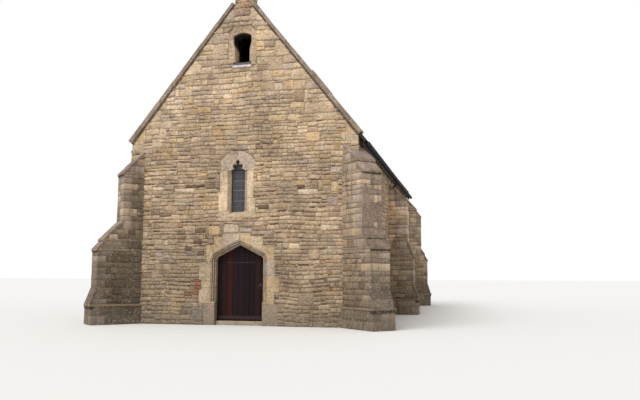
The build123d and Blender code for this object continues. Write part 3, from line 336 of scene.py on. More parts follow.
class ChapelStageSettings(bpy.types.PropertyGroup):
    """The plain surroundings and the light."""

    floor: colour_property("Floor", "E4E3E0", "Plain floor")
    sky: strength_property("Sky", 0.62, "Strength of the even light")
    sun: strength_property("Sun", 2.1, "Strength of the soft key light")


def settings(name):
    """One group of settings of the scene."""
    return getattr(bpy.context.scene, "chapel_" + name)


# Modelling helpers
def pick(*objects):
    """Select these objects alone, the last one active."""
    bpy.ops.object.select_all(action="DESELECT")
    for obj in objects:
        obj.select_set(True)
    bpy.context.view_layer.objects.active = objects[-1]


def open_mesh(obj):
    """Go into edit mode with everything selected."""
    pick(obj)
    bpy.ops.object.mode_set(mode="EDIT")
    bpy.ops.mesh.select_all(action="SELECT")


def close_mesh():
    """Leave edit mode."""
    bpy.ops.object.mode_set(mode="OBJECT")


def choose(obj, kind, test):
    """In edit mode, select the edges or faces that pass a test."""
    bpy.ops.mesh.select_mode(type=kind)
    bpy.ops.mesh.select_all(action="DESELECT")
    mesh = bmesh.from_edit_mesh(obj.data)
    for item in mesh.edges if kind == "EDGE" else mesh.faces:
        if test(item):
            item.select_set(True)
    bmesh.update_edit_mesh(obj.data)


def add_block(name, low, high, bevel=0.0):
    """A box between two corners, bevelled all round."""
    low, high = Vector(low), Vector(high)
    bpy.ops.object.select_all(action="DESELECT")
    bpy.ops.mesh.primitive_cube_add(size=1, location=(low + high) / 2, scale=high - low)
    obj = bpy.context.object
    obj.name = name
    bpy.ops.object.transform_apply(location=True, rotation=True, scale=True)
    if bevel:
        open_mesh(obj)
        bpy.ops.mesh.bevel(offset=bevel, segments=1, affect="EDGES")
        close_mesh()
    return obj


def plane(axis, at, facing):
    """A plane square to X, Y or Z at a place: a point on it and the way it faces."""
    return [tuple(part if own == axis else 0 for own in "XYZ") for part in (at, facing)]


def cut(obj, point, outward):
    """Take away what lies beyond a plane, and close the cut."""
    open_mesh(obj)
    bpy.ops.mesh.bisect(plane_co=point, plane_no=outward, use_fill=True, clear_outer=True)
    close_mesh()


def soften(obj, width):
    """Take the sharpness off the edges."""
    pick(obj)
    modifier = obj.modifiers.new("Bevel", "BEVEL")
    modifier.width = width
    modifier.segments = 1
    modifier.limit_method = "ANGLE"
    modifier.angle_limit = SMOOTH_ANGLE
    bpy.ops.object.modifier_apply(modifier=modifier.name)


def join(name, objects):
    """Make one named object of several."""
    pick(*objects)
    if len(objects) > 1:
        bpy.ops.object.join()
    obj = bpy.context.view_layer.objects.active
    obj.name = name
    return obj


def copy_of(obj, name, matrix=None):
    """A copy with its own mesh, moved by a matrix."""
    twin = obj.copy()
    twin.data = obj.data.copy()
    twin.name = name
    twin.parent = None
    bpy.context.scene.collection.objects.link(twin)
    if matrix:
        twin.data.transform(matrix)
    return twin


def solid_copy(node, name="source", matrix=None):
    """A clean copy of a plain solid: its triangles merged and its flat faces whole."""
    obj = copy_of(frame["nodes"][node], name, matrix)
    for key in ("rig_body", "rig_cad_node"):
        if key in obj:
            del obj[key]
    obj.data.materials.clear()
    open_mesh(obj)
    bpy.ops.mesh.remove_doubles(threshold=0.0001)
    bpy.ops.mesh.dissolve_limited(angle_limit=math.radians(2))
    close_mesh()
    return obj


def remove(objects):
    """Delete models that were only copied from."""
    for obj in objects:
        bpy.data.objects.remove(obj)


def tint(obj, colour, dim=None):
    """Give one stone its colour, dimmed or lightened from place to place by a share, such as painted shade
    in a recess.
    """
    old = obj.data.attributes.get("tint")
    if old:
        obj.data.attributes.remove(old)
    layer = obj.data.attributes.new("tint", "FLOAT_COLOR", "POINT")
    colours = [shade(colour, dim(v.co)) if dim else colour for v in obj.data.vertices]
    layer.data.foreach_set("color", [part for own in colours for part in own])


def paint_sky_shading(obj):
    """Paint shade on what faces the ground and paint light on what faces the sky, into the stones' colour.
    """
    mesh = obj.data
    colours = [0.0] * (4 * len(mesh.vertices))
    layer = mesh.attributes["tint"].data
    layer.foreach_get("color", colours)
    for n, vertex in enumerate(mesh.vertices):
        up = vertex.normal.z
        level = 1.0 - UNDER_SHADE * max(0.0, -up) + SKY_LIGHT * max(0.0, up)
        for part in range(4 * n, 4 * n + 3):
            colours[part] = min(1.0, colours[part] * level)
    layer.foreach_set("color", colours)


def finish_piece(obj, body, material, slot, *replaced):
    """Give a piece its finish, let it ride on its body and stand for its plain solids."""
    obj.data.materials.clear()
    obj.data.materials.append(material)
    pick(obj)
    bpy.ops.object.shade_smooth_by_angle(angle=SMOOTH_ANGLE)
    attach(obj, body)
    if replaced:
        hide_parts(*replaced)


def dress(name, blocks, *nodes, finish="Dressed stone", slot="dressed_stone"):
    """Join stones to the piece that stands for plain solids."""
    finish_piece(join(name, blocks), "chapel", stone_material(finish), slot, *nodes)


def dress_whole(name, node, width, colour, dim=None, **finish):
    """Soften and colour a plain solid as one stone."""
    whole = solid_copy(node)
    soften(whole, width)
    tint(whole, colour, dim)
    dress(name, [whole], node, **finish)


def assign(material, *nodes):
    """Give plain solids their finish."""
    for node in nodes:
        obj = frame["nodes"][node]
        obj.data.materials.clear()
        obj.data.materials.append(material)


# Copies of model stones at many places
def laying_group():
    """Geometry nodes that put a copy from a collection on every point."""
    if "Lay copies" in bpy.data.node_groups:
        return bpy.data.node_groups["Lay copies"]
    group = bpy.data.node_groups.new("Lay copies", "GeometryNodeTree")
    group.interface.new_socket("Points", in_out="INPUT", socket_type="NodeSocketGeometry")
    group.interface.new_socket("Stock", in_out="INPUT", socket_type="NodeSocketCollection")
    group.interface.new_socket("Copies", in_out="OUTPUT", socket_type="NodeSocketGeometry")
    start = add_node(group, "NodeGroupInput").outputs
    stock = add_node(group, "GeometryNodeCollectionInfo", {
        "Collection": start["Stock"], "Separate Children": True, "Reset Children": True})
    inputs = {"Points": start["Points"], "Instance": stock.outputs[0], "Pick Instance": True}
    for name, kind, socket in (("kind", "INT", "Instance Index"), ("turn", "FLOAT_VECTOR", "Rotation"),
                               ("stretch", "FLOAT_VECTOR", "Scale")):
        value = add_node(group, "GeometryNodeInputNamedAttribute", {"Name": name}, data_type=kind)
        inputs[socket] = value.outputs["Attribute"]
    spread = add_node(group, "GeometryNodeInstanceOnPoints", inputs)
    real = add_node(group, "GeometryNodeRealizeInstances", {"Geometry": spread.outputs["Instances"]})
    add_node(group, "NodeGroupOutput", {"Copies": real.outputs["Geometry"]})
    return group


def lay(name, places, stock):
    """One mesh of copies: each place gives a matrix, a stretch, the kind of model and a colour."""
    mesh = bpy.data.meshes.new(name)
    mesh.from_pydata([place[0].translation for place in places], [], [])
    for key, kind, field_name, values in (
        ("turn", "FLOAT_VECTOR", "vector", [v for place in places for v in place[0].to_euler()]),
        ("stretch", "FLOAT_VECTOR", "vector", [v for place in places for v in place[1]]),
        ("kind", "INT", "value", [place[2] for place in places]),
        ("tint", "FLOAT_COLOR", "color", [v for place in places for v in place[3]]),
    ):
        mesh.attributes.new(key, kind, "POINT").data.foreach_set(field_name, values)
    obj = bpy.data.objects.new(name, mesh)
    bpy.context.scene.collection.objects.link(obj)
    group = laying_group()
    modifier = obj.modifiers.new("Lay", "NODES")
    modifier.node_group = group
    for item in group.interface.items_tree:
        if item.name == "Stock":
            modifier[item.identifier] = stock
    pick(obj)
    bpy.ops.object.modifier_apply(modifier=modifier.name)
    for key in ("turn", "stretch", "kind"):
        obj.data.attributes.remove(obj.data.attributes[key])
    return obj


def model_rubble(name, width, height, seed):
    """One rubble stone: a slab with cut corners and uneven edges, its face raised from a rim at y = 0."""
    obj = add_block(name, (-width / 2, 0, -height / 2), (width / 2, RUBBLE_DEPTH, height / 2))
    open_mesh(obj)
    choose(obj, "EDGE", lambda edge: abs((edge.verts[0].co - edge.verts[1].co).y) > RUBBLE_DEPTH / 2)
    bpy.ops.mesh.bevel(offset=min(height * 0.22, 0.026), segments=1, affect="EDGES")
    choose(obj, "FACE", lambda face: face.normal.y < -0.9)
    bpy.ops.mesh.inset(thickness=min(height * 0.24, 0.03), depth=0.011)
    bpy.ops.mesh.select_all(action="SELECT")
    bpy.ops.transform.vertex_random(offset=min(0.011, height * 0.09), uniform=0.7, normal=0.0, seed=seed)
    close_mesh()
    return obj


def model_coping(name, half):
    """One coping stone: a block with its two lower edges along the wall cut back."""
    obj = add_block(name, (-half,) * 3, (half,) * 3)
    open_mesh(obj)
    choose(obj, "EDGE", lambda edge: (
        all(v.co.z < 0 for v in edge.verts) and edge.verts[0].co.y == edge.verts[1].co.y))
    bpy.ops.mesh.bevel(offset=0.055, segments=1, affect="EDGES")
    close_mesh()
    soften(obj, BLOCK_BEVEL)
    return obj


def stone_stock():
    """The collection of model stones, rubble kinds first, then the dressed block and the coping."""
    stock = bpy.data.collections.new("Stone stock")
    bpy.context.scene.collection.children.link(stock)
    sizes = [size for size in RUBBLE_KINDS for variant in range(RUBBLE_VARIANTS)]
    models = [model_rubble("model_%02d" % n, *size, n + 1) for n, size in enumerate(sizes)]
    half = BLOCK_SIZE / 2
    models.append(add_block("model_%02d" % BLOCK_KIND, (-half,) * 3, (half,) * 3, BLOCK_BEVEL))
    models.append(model_coping("model_%02d" % COPING_KIND, half))
    for obj in models:
        for owner in obj.users_collection:
            owner.objects.unlink(obj)
        stock.objects.link(obj)
    return stock


def clear_stock(stock):
    """Delete the model stones."""
    remove(list(stock.objects))
    bpy.data.collections.remove(stock)


def turned(point, degrees_z):
    """A frame at a point, turned about Z. A face looks along its own -Y."""
    return Matrix.Translation(Vector(point)) @ Matrix.Rotation(math.radians(degrees_z), 4, "Z")


WALL_FRAMES = {
    "front": turned((0, FRONT_Y, 0), 0),
    "right": turned((WALL_X, 0, 0), 90),
    "left": turned((-WALL_X, 0, 0), -90),
    "rear": turned((0, REAR_Y, 0), 180),
}
NAVE_WALLS = ("left", "right", "rear")


def window_frames(*walls):
    """Frames at the sill line of each window of these walls."""
    spots = {"front": (FRONT_WINDOW,), "rear": (REAR_WINDOW,)}
    return [WALL_FRAMES[wall] @ Matrix.Translation((x, 0, z))
            for wall in walls for x, z in spots.get(wall, SIDE_WINDOWS)]


# Colours
def blend(first, second, share):
    """A colour between two."""
    return [a + (b - a) * share for a, b in zip(first, second)]


def shade(colour, amount):
    """A colour made lighter or darker."""
    return [min(1.0, c * amount) for c in colour[:3]] + [1.0]


def mixed(first, second, share, amount=1.0):
    """A colour between two, made lighter or darker."""
    return shade(blend(first, second, share), amount)


def walling_colour(rng, x, height, paleness=0.0):
    """A stone's colour: patches of warm and dull stone, greyer low down and paler in the gable."""
    stone = settings("stone")
    low = max(0.0, 1 - height / 1.3)
    high = min(1.0, max(0.0, (height - 4.8) / 2.5))
    warm = field.noise(Vector((x * 0.8, 3.1, height * 1.1)))
    dull = field.noise(Vector((x * 0.9, 9.7, height * 1.3)))
    weights = (
        (stone.buff, 0.42),
        (stone.pale, 0.16 + 0.2 * high + paleness),
        (stone.ochre, max(0.03, 0.10 + 0.14 * high + 0.5 * warm)),
        (stone.brown, max(0.02, 0.2 * (1 - high) + 0.35 * dull)),
        (stone.grey, max(0.02, 0.06 + 0.9 * low + 0.25 * dull)),
        (stone.mauve, max(0.03, 0.16 - 0.4 * warm)),
        (stone.lavender, max(0.01, 0.06 + paleness - 0.3 * warm)),
        (stone.red, 0.004),
    )
    colours = [c for c, w in weights]
    chosen = rng.choices(colours, [w for c, w in weights])[0]
    softer = blend(chosen, stone.buff, rng.uniform(0.35, 0.85))
    level = 0.715 + 0.245 * min(1.0, height / 4.5) + 0.15 * high + 0.5 * paleness - 0.12 * dull
    return shade(softer, level * rng.uniform(0.89, 1.11))


# Laying out rubble
def free_parts(box, taken):
    """What is left of a box beside, below and above the dressed stones."""
    parts = [box]
    for a, b, foot, top in taken:
        rest = []
        for x0, x1, z0, z1 in parts:
            if a > x1 - 0.01 or b < x0 + 0.01 or foot > z1 - 0.01 or top < z0 + 0.01:
                rest.append((x0, x1, z0, z1))
                continue
            low, high = max(x0, a), min(x1, b)
            beside = ((x0, a, z0, z1), (b, x1, z0, z1))
            over = ((low, high, z0, foot), (low, high, top, z1))
            rest += [part for part in beside if part[1] - part[0] > 0.02]
            rest += [part for part in over if part[3] - part[2] > 0.03]
        parts = rest
    return parts


def uneven(start, end, draw, rest):
    """Start and size of uneven steps between two ends. A rest too short for a step joins the last one."""
    at = start
    while at < end - 0.02:
        size = draw(at)
        if at + size > end - rest:
            size = end - at
        yield at, size
        at += size


def course_height(z):
    """Usual height of a rubble course at a level: larger in the upper gable."""
    return settings("stone").course * (1.0 + 0.4 * min(1.0, max(0.0, (z - 5.8) / 1.4)))


def rubble_row(rng, x0, x1, height):
    """Widths of the stones in one row, as pairs of ends."""
    usual = min(0.5, max(0.15, height * (2.1 if height < 0.14 else 1.5)))
    ends = [x0]
    while x1 - ends[-1] > usual * 1.5:
        ends.append(ends[-1] + usual * rng.uniform(0.45, 1.4))
    ends.append(x1)
    return list(zip(ends, ends[1:]))


def rubble_boxes(rng, foot, top, reach, taken, big):
    """Coursed rubble as boxes on a wall face: bands cut into runs, and runs into one or more rows."""
    boxes = []
    for z, band in uneven(foot, top, lambda z: course_height(z) * rng.uniform(*BAND_COURSES), 0.08):
        x, x1 = reach(z)
        while x < x1 - 0.02:
            run = rng.uniform(*RUN_LENGTHS)
            tall = rng.random() < big(x + run / 2, z + band / 2)
            if tall:
                run = rng.uniform(*TALL_LENGTHS)
            if x + run > x1 - 0.12:
                run = x1 - x
            rows = 1 if tall else max(2, round(band / course_height(z) * rng.uniform(0.85, 1.15)))
            cuts = [z + band * (n + rng.uniform(-ROW_SWAY, ROW_SWAY) * (0 < n < rows)) / rows
                    for n in range(rows + 1)]
            for low, high in zip(cuts, cuts[1:]):
                for a, b, z0, z1 in free_parts((x, x + run, low, high), taken):
                    boxes += [(left, right, z0, z1) for left, right in rubble_row(rng, a, b, z1 - z0)]
            x += run
    return boxes


def wave(x, z, taken):
    """How far a course lies above or below its level, and nothing at a dressing or at the ground."""
    gaps = [max(a - x, x - b, foot - z, z - top, 0.0) for a, b, foot, top in taken] + [z]
    calm = min(1.0, min(gaps) / WAVE_DISTANCE)
    return WAVE_HEIGHT * field.noise(Vector((x * 0.7, 0.0, z * 0.45))) * calm


def nearest_kind(width, height):
    """The rubble kind whose shape, and then size, is nearest to a stone's."""
    def miss(kind):
        model_width, model_height = RUBBLE_KINDS[kind]
        shape = abs(math.log(width / height * model_height / model_width))
        return shape + abs(math.log(height / model_height)) * 0.5

    return min(range(len(RUBBLE_KINDS)), key=miss)


def rubble_places(rng, face, boxes, colour, taken=None, worn=0.0):
    """Model stones fitted to the boxes of one face, a share of them over an open bed with a dark fill that
    paints the shade in the gap.
    """
    stone = settings("stone")
    places = []
    for a, b, low, high in boxes:
        open_bed = 0.0
        if high - low > 0.06 and rng.random() < worn * min(1.0, max(0.2, 1.45 - 0.22 * low)):
            open_bed = rng.uniform(0.012, 0.03)
        low += open_bed
        width = b - a - stone.joint * rng.uniform(-0.35, 0.35)
        height = high - low - stone.joint * rng.uniform(0.2, 0.9)
        if width < 0.03 or height < 0.025:
            continue
        kind = nearest_kind(width, height)
        model_width, model_height = RUBBLE_KINDS[kind]
        x, z = (a + b) / 2, (low + high) / 2
        lift = slant = 0.0
        if taken is not None:
            lift = wave(x, z, taken)
            slant = math.atan2(wave(a, z, taken) - wave(b, z, taken), b - a)
        middle = Vector((x, -stone.proud * rng.uniform(0.1, 1.0), z + lift))
        # A dark block in the open bed: painted shade in the gap under the stone
        if open_bed:
            left, right = [(b - a) / 2 * rng.uniform(0.5, 1.1) for end in range(2)]
            shadow = Matrix.Translation((x, 0, low + lift - open_bed / 2)) @ Matrix.Rotation(slant, 4, "Y")
            places.append(block_place(
                face @ shadow, (-left, -0.007, -open_bed * 0.7), (right, 0.01, open_bed * 0.7),
                shade(stone.brown, rng.uniform(0.4, 0.75))))
        turn = slant + math.radians(rng.uniform(-2.2, 2.2)) + math.pi * rng.randrange(2)
        places.append((
            face @ Matrix.Translation(middle) @ Matrix.Rotation(turn, 4, "Y"),
            (width / model_width, 1.0, height / model_height),
            kind * RUBBLE_VARIANTS + rng.randrange(RUBBLE_VARIANTS),
            colour(rng, x, z),
        ))
    return places


def block_place(face, low, high, colour, kind=BLOCK_KIND):
    """One dressed block between two corners of a face's own frame."""
    low, high = Vector(low), Vector(high)
    size = [max(0.01, h - l) / BLOCK_SIZE for l, h in zip(low, high)]
    return (face @ Matrix.Translation((low + high) / 2), size, kind, colour)


def courses_taken(sides, x=0.0, z=0.0):
    """What the jamb stones of an opening take from a wall face, from the middle outwards."""
    return [(*sorted((x, x + side * reach)), z + foot, z + top) for side, courses in sides
            for foot, top, reach in courses]


def window_taken(spots):
    """What the dressings of windows take from a wall face."""
    taken = []
    for x, z in spots:
        taken.append((x - WINDOW_JAMB_HALF, x + WINDOW_JAMB_HALF, z - WINDOW_SILL, z))
        taken += courses_taken(WINDOW_COURSES, x, z)
        shoulder = z + WINDOW_SPRING + WINDOW_HEAD_SHOULDER
        taken.append((x - WINDOW_HEAD_HALF, x + WINDOW_HEAD_HALF, z + WINDOW_SPRING, shoulder))
        arc = WINDOW_HEAD_RISE - WINDOW_HEAD_SHOULDER
        radius = (WINDOW_HEAD_HALF ** 2 + arc ** 2) / (2 * arc)
        centre = z + WINDOW_SPRING + WINDOW_HEAD_RISE - radius
        steps = 6
        for n in range(steps):
            low = shoulder + arc * n / steps
            half = math.sqrt(max(0.0, radius ** 2 - (low - centre) ** 2))
            taken.append((x - half, x + half, low, shoulder + arc * (n + 1) / steps))
    return taken


def doorway_taken():
    """What the dressings of the doorway take from the front."""
    arch = [(*sorted((side * near, side * far)), DOOR_SPRING_Z, top) for side, courses in ARCH_COURSES
            for near, far, top in courses]
    return courses_taken(JAMB_COURSES) + arch


def bell_taken():
    """What the dressings of the bell opening take from the front."""
    low, high = BELL_BOX
    taken = [(low.x, high.x, low.z, high.z - BELL_CHAMFER),
             (BELL_SILL_BOX[0].x, BELL_SILL_BOX[1].x, BELL_SILL_BOX[0].z, BELL_SILL_BOX[1].z)]
    steps = 3
    for n in range(steps):
        inset = BELL_CHAMFER * n / steps
        foot = high.z - BELL_CHAMFER + inset
        taken.append((low.x + inset, high.x - inset, foot, foot + BELL_CHAMFER / steps))
    return taken


# Single stones that show clearly in the front: ends, foot, top, two colours, the second's share, level
SINGLE_STONES = (
    (-1.42, -1.10, 0.10, 0.53, "lavender", "grey", 0.6, 0.78),
    (-1.80, -1.43, 0.33, 0.50, "mauve", "lavender", 0.4, 0.62),
    (-0.48, -0.02, 2.715, 2.97, "pale", "lavender", 0.35, 1.02),
    (-0.97, -0.62, 2.63, 2.93, "pale", "ochre", 0.6, 0.96),
    (0.03, 0.40, 2.715, 2.86, "lavender", "pale", 0.3, 1.0),
    (-1.38, -1.17, 1.04, 1.13, "red", "brown", 0.4, 0.72),
    (-1.40, -1.18, 1.14, 1.25, "red", "brown", 0.3, 0.85),
    (-1.50, -1.18, 1.26, 1.34, "red", "brown", 0.6, 0.8),
    (-1.70, -1.45, 0.85, 0.93, "red", "brown", 0.5, 0.78),
    (-1.44, -1.24, 0.86, 1.02, "red", "brown", 0.45, 0.75),
    (-1.66, -1.42, 0.94, 1.02, "red", "buff", 0.5, 0.72),
    (-3.14, -2.98, 2.58, 2.79, "pale", "ochre", 0.2, 1.0),
    (-2.45, -2.27, 2.35, 2.52, "pale", "ochre", 0.35, 1.0),
    (-2.92, -2.77, 3.02, 3.14, "pale", "ochre", 0.5, 1.05),
    (-2.69, -2.44, 2.02, 2.15, "lavender", "pale", 0.3, 0.95),
    (-2.43, -2.17, 1.94, 2.07, "lavender", "pale", 0.5, 0.95),
    (-1.69, -1.37, 2.03, 2.16, "lavender", "grey", 0.3, 0.85),
    (-1.34, -1.09, 2.05, 2.16, "mauve", "brown", 0.5, 0.62),
    (-1.46, -1.18, 2.39, 2.52, "brown", "mauve", 0.3, 0.6),
    (-1.72, -1.50, 2.19, 2.32, "brown", "grey", 0.5, 0.55),
    (-1.40, -1.07, 2.73, 2.84, "brown", "mauve", 0.2, 0.65),
    (-2.59, -2.19, 3.24, 3.35, "brown", "mauve", 0.3, 0.7),
    (-3.09, -2.90, 3.54, 3.72, "pale", "ochre", 0.7, 1.05),
    (-2.85, -2.47, 4.05, 4.16, "pale", "buff", 0.4, 1.08),
    (-2.10, -1.46, 3.97, 4.10, "pale", "buff", 0.2, 1.12),
    (-1.75, -1.12, 4.11, 4.18, "brown", "brown", 0.0, 0.42),
    (-1.38, -1.05, 4.43, 4.55, "ochre", "pale", 0.3, 1.05),
    (0.53, 0.67, 4.27, 4.43, "pale", "ochre", 0.5, 1.1),
    (0.68, 0.93, 4.33, 4.45, "pale", "mauve", 0.4, 1.02),
    (1.26, 1.61, 4.02, 4.20, "grey", "pale", 0.4, 1.05),
    (1.78, 2.01, 3.99, 4.09, "brown", "mauve", 0.3, 0.5),
    (1.80, 2.40, 3.82, 3.96, "pale", "lavender", 0.25, 1.22),
    (0.59, 0.91, 3.41, 3.52, "brown", "mauve", 0.2, 0.52),
    (2.68, 3.00, 3.46, 3.74, "lavender", "mauve", 0.3, 0.95),
    (2.79, 3.00, 3.87, 4.19, "pale", "ochre", 0.5, 1.05),
    (2.78, 3.09, 4.42, 4.62, "lavender", "pale", 0.2, 1.08),
    (-2.33, -2.10, 5.51, 5.67, "pale", "ochre", 0.5, 1.12),
    (-2.08, -1.85, 5.51, 5.67, "pale", "ochre", 0.4, 1.1),
    (1.04, 1.18, 5.36, 5.47, "pale", "ochre", 0.7, 1.15),
    (-1.19, -1.00, 6.20, 6.36, "ochre", "pale", 0.4, 1.12),
    (0.88, 1.42, 6.05, 6.24, "pale", "ochre", 0.5, 1.14),
    (1.48, 1.86, 6.03, 6.23, "pale", "ochre", 0.4, 1.1),
    (-1.43, -0.98, 6.42, 6.62, "ochre", "pale", 0.2, 1.08),
    (1.54, 1.98, 6.41, 6.61, "pale", "ochre", 0.5, 1.14),
    (-1.88, -1.58, 6.70, 6.89, "pale", "ochre", 0.7, 1.06),
    (-2.20, -1.92, 6.74, 6.90, "lavender", "pale", 0.5, 1.2),
    (-2.47, -2.20, 7.01, 7.18, "lavender", "pale", 0.5, 1.15),
    (-2.18, -1.84, 7.22, 7.40, "pale", "lavender", 0.4, 1.12),
    (1.05, 1.30, 6.99, 7.23, "pale", "lavender", 0.3, 1.15),
    (-3.59, -3.32, 4.96, 5.20, "pale", "grey", 0.55, 1.08),
    (3.28, 3.59, 4.96, 5.20, "pale", "grey", 0.6, 1.08),
)


def slope_reach(z):
    """Ends of a gable wall's face at a height."""
    half = WALL_X if z < GABLE_FOOT_Z else (APEX_Z - z) / SLOPE
    return (-half, half)


def side_reach(z):
    """Ends of a side wall's face, the same at any height."""
    return (FRONT_Y, REAR_Y)


def big_in_gable(x, z):
    """Share of large stones in a gable wall: most along the rakes, some near the top."""
    if z > GABLE_FOOT_Z - 0.2 and abs(x) > (APEX_Z - z) / SLOPE - 1.1:
        return 0.6
    return 0.25 if z > 6.6 else 0.05


def big_in_side(x, z):
    """Share of large stones in a side wall, the same all over."""
    return 0.08


def lay_walls(stock):
    """Rubble on the four outer faces."""
    stone = settings("stone")
    kneelers = []
    for side in (-1, 1):
        ends = sorted((side * WALL_X, side * (WALL_X - FOOTSTONE_WIDTH)))
        kneelers.append((*ends, KNEELER_FOOT_Z, FOOTSTONE_TOP_Z))
    single = [(stones[:4], mixed(getattr(stone, stones[4]), getattr(stone, stones[5]), *stones[6:]))
              for stones in SINGLE_STONES]
    front = kneelers + doorway_taken() + bell_taken() + window_taken([FRONT_WINDOW])
    gable_top, side_top = APEX_Z - 0.1, GABLE_FOOT_Z - 0.35
    walls = {
        "front": (slope_reach, gable_top, front + [box for box, own in single]),
        "rear": (slope_reach, gable_top, kneelers + window_taken([REAR_WINDOW])),
        "right": (side_reach, side_top, window_taken(SIDE_WINDOWS)),
        "left": (side_reach, side_top, window_taken(SIDE_WINDOWS)),
    }
    pieces = []
    for number, (wall, (reach, top, taken)) in enumerate(walls.items()):
        rng = random.Random(SEEDS["walls"] + number)
        face = WALL_FRAMES[wall]
        gable = reach == slope_reach
        big = big_in_gable if gable else big_in_side
        boxes = rubble_boxes(rng, RUBBLE_FOOT_Z, top, reach, taken, big)

        def colour(rng, x, z):
            paleness = 0.16 if gable and big_in_gable(x, z) > 0.5 else 0.0
            own = walling_colour(rng, x + 20 * number, z, paleness)
            # Side walls take a share of mauve and are made lighter: painted light where the sun leaves them
            # in shade
            return own if gable else mixed(own, stone.mauve, 0.25, 1.18)

        places = rubble_places(rng, face, boxes, colour, taken, OPEN_BEDS["gable" if gable else "side"])
        if wall == "front":
            for box, own in single:
                places += rubble_places(rng, face, [box], lambda rng, x, z: own)
        piece = lay(wall + "_rubble", places, stock)
        paint_sky_shading(piece)
        if gable:
            for side in (-1, 1):
                foot = (side * WALL_X, 0, GABLE_FOOT_Z - 0.012)
                cut(piece, foot, (side * math.sin(PITCH), 0, math.cos(PITCH)))
        pieces.append(piece)
    return pieces


# Buttresses
def buttress_outline(kind):
    """Upright stages as (reach, half width, foot, top) and weatherings as (reach, foot, reach, top)."""
    (base, lower, mid, upper), mid_top, top_foot, top = BUTTRESS_KINDS[kind]
    slopes = [
        (base + DRIP, BASE_TOP_Z, lower, PLINTH_TOP_Z),
        (lower + DRIP, MID_FOOT_Z + DRIP_HEIGHT, mid, MID_BREAK_Z),
        (mid + DRIP, MID_BREAK_Z + DRIP_HEIGHT, upper, mid_top),
    ]
    reach, foot = upper + DRIP, top_foot + DRIP_HEIGHT
    for inner, crest in top:
        slopes.append((reach, foot, inner, crest))
        reach, foot = inner + DRIP, crest + DRIP_HEIGHT
    half = BUTTRESS_HALF
    stages = [
        (base, BASE_HALF, 0.0, BASE_TOP_Z - DRIP_HEIGHT),
        (base + DRIP, half, BASE_TOP_Z, PLINTH_TOP_Z),
        (lower, half, PLINTH_TOP_Z, MID_FOOT_Z),
        (lower + DRIP, half, MID_FOOT_Z + DRIP_HEIGHT, MID_BREAK_Z),
        (mid + DRIP, half, MID_BREAK_Z + DRIP_HEIGHT, mid_top),
        (upper, half, mid_top, top_foot),
    ]
    stages += [(outer, half, low, crest - 0.05) for outer, low, inner, crest in slopes[3:]]
    drips = [(base, BASE_HALF, BASE_TOP_Z - DRIP_HEIGHT), (lower, half, MID_FOOT_Z),
             (mid, half, MID_BREAK_Z), (upper, half, top_foot)]
    drips += [(inner, half, crest) for inner, crest in top[:-1]]
    return stages, slopes, drips


def buttress_colour(rng, x, z):
    """A buttress stone's colour before its tone, taken from a lower part of the wall."""
    return walling_colour(rng, x, 1.0 + z * 0.8)


def lay_stage(rng, place, wall_at, stage, slopes, tone):
    """Courses of corner blocks and side stones round one upright stage."""
    reach, half, foot, top = stage
    stone = settings("stone")
    gap = stone.joint / 2
    heights = BUTTRESS_COURSES if foot > 0 else BASE_COURSES
    places = []
    turn = rng.randrange(2)
    for z, height in uneven(foot, top, lambda z: rng.uniform(*heights), 0.09):
        rise = min(1.0, max(0.0, (z - 0.8) / 2.4))
        damp = 0.6 + 0.4 * rise * rise * (3 - 2 * rise)
        low, high = z + gap, z + height - gap
        turn = 1 - turn
        split = rng.uniform(0.38, 0.62) * 2 * half - half
        depths = BLOCK_DEPTHS if turn else BLOCK_DEPTHS[::-1]
        proud = [stone.proud * rng.uniform(0.1, 0.8) for n in range(4)]
        outer = reach
        for start, slope_foot, inner, crest in slopes:
            if slope_foot <= high <= crest:
                outer = min(reach, inner + (start - inner) * (crest - high) / (crest - slope_foot) - 0.03)
        ends = ((-half - proud[0], split - gap), (split + gap, half + proud[1]))
        for (a, b), depth, out in zip(ends, depths, proud[2:]):
            colour = blend(buttress_colour(rng, a, z), shade(stone.lavender, 0.9), rng.uniform(0.0, 0.8))
            level = rng.uniform(0.68, 1.2)
            pale = 0.28 if level > 1.08 else 0.0
            colour = shade(colour, tone[0] * damp * (level + pale))
            places.append(block_place(place, (outer - depth, a, low), (outer + out, b, high), colour))
        for side, depth, side_tone in zip((-1, 1), depths, tone[1:]):
            left, right = sorted((side * -wall_at, side * -(outer - depth)))
            if right - left < 0.05:
                continue

            def side_colour(rng, x, z):
                return shade(buttress_colour(rng, x, z), side_tone * damp * rng.uniform(0.85, 1.1))

            face = place @ turned((0, side * half, 0), 0 if side < 0 else 180)
            boxes = [(a, b, z, z + height) for a, b in rubble_row(rng, left, right, height * 0.7)]
            places += rubble_places(rng, face, boxes, side_colour, worn=OPEN_BEDS["buttress"])
    return places


def lay_slope(rng, place, outer, foot, inner, top):
    """Weathering stones on one slope, one to three in a row."""
    stone = settings("stone")
    half = BUTTRESS_HALF
    run = math.hypot(outer - inner, top - foot)
    angle = math.atan2(top - foot, outer - inner)
    slope = place @ Matrix.Translation((outer, 0, foot)) @ Matrix.Rotation(angle, 4, "Y")
    damp = 0.5 if top < 2 else 0.75 if top < 3 else 0.9
    worn = stone.grey if top < 3 else stone.lavender
    rows = max(1, round(run / 0.3))
    places = []
    for row in range(rows):
        a, b = -run * (row + 1) / rows, -run * row / rows
        parts = rng.choice((2, 2, 3, 1))
        cuts = [-half + 2 * half * n / parts + rng.uniform(-0.05, 0.05) * (0 < n < parts)
                for n in range(parts + 1)]
        cuts[0] -= 0.012
        cuts[-1] += 0.012
        for low, high in zip(cuts, cuts[1:]):
            colour = mixed(worn, stone.mauve, rng.uniform(0.2, 0.9), damp * rng.uniform(0.82, 1.12))
            lift = rng.uniform(0.004, 0.014)
            places.append(block_place(
                slope, (a + 0.003, low + 0.003, -0.06), (b - 0.003, high - 0.003, lift), colour))
    return places


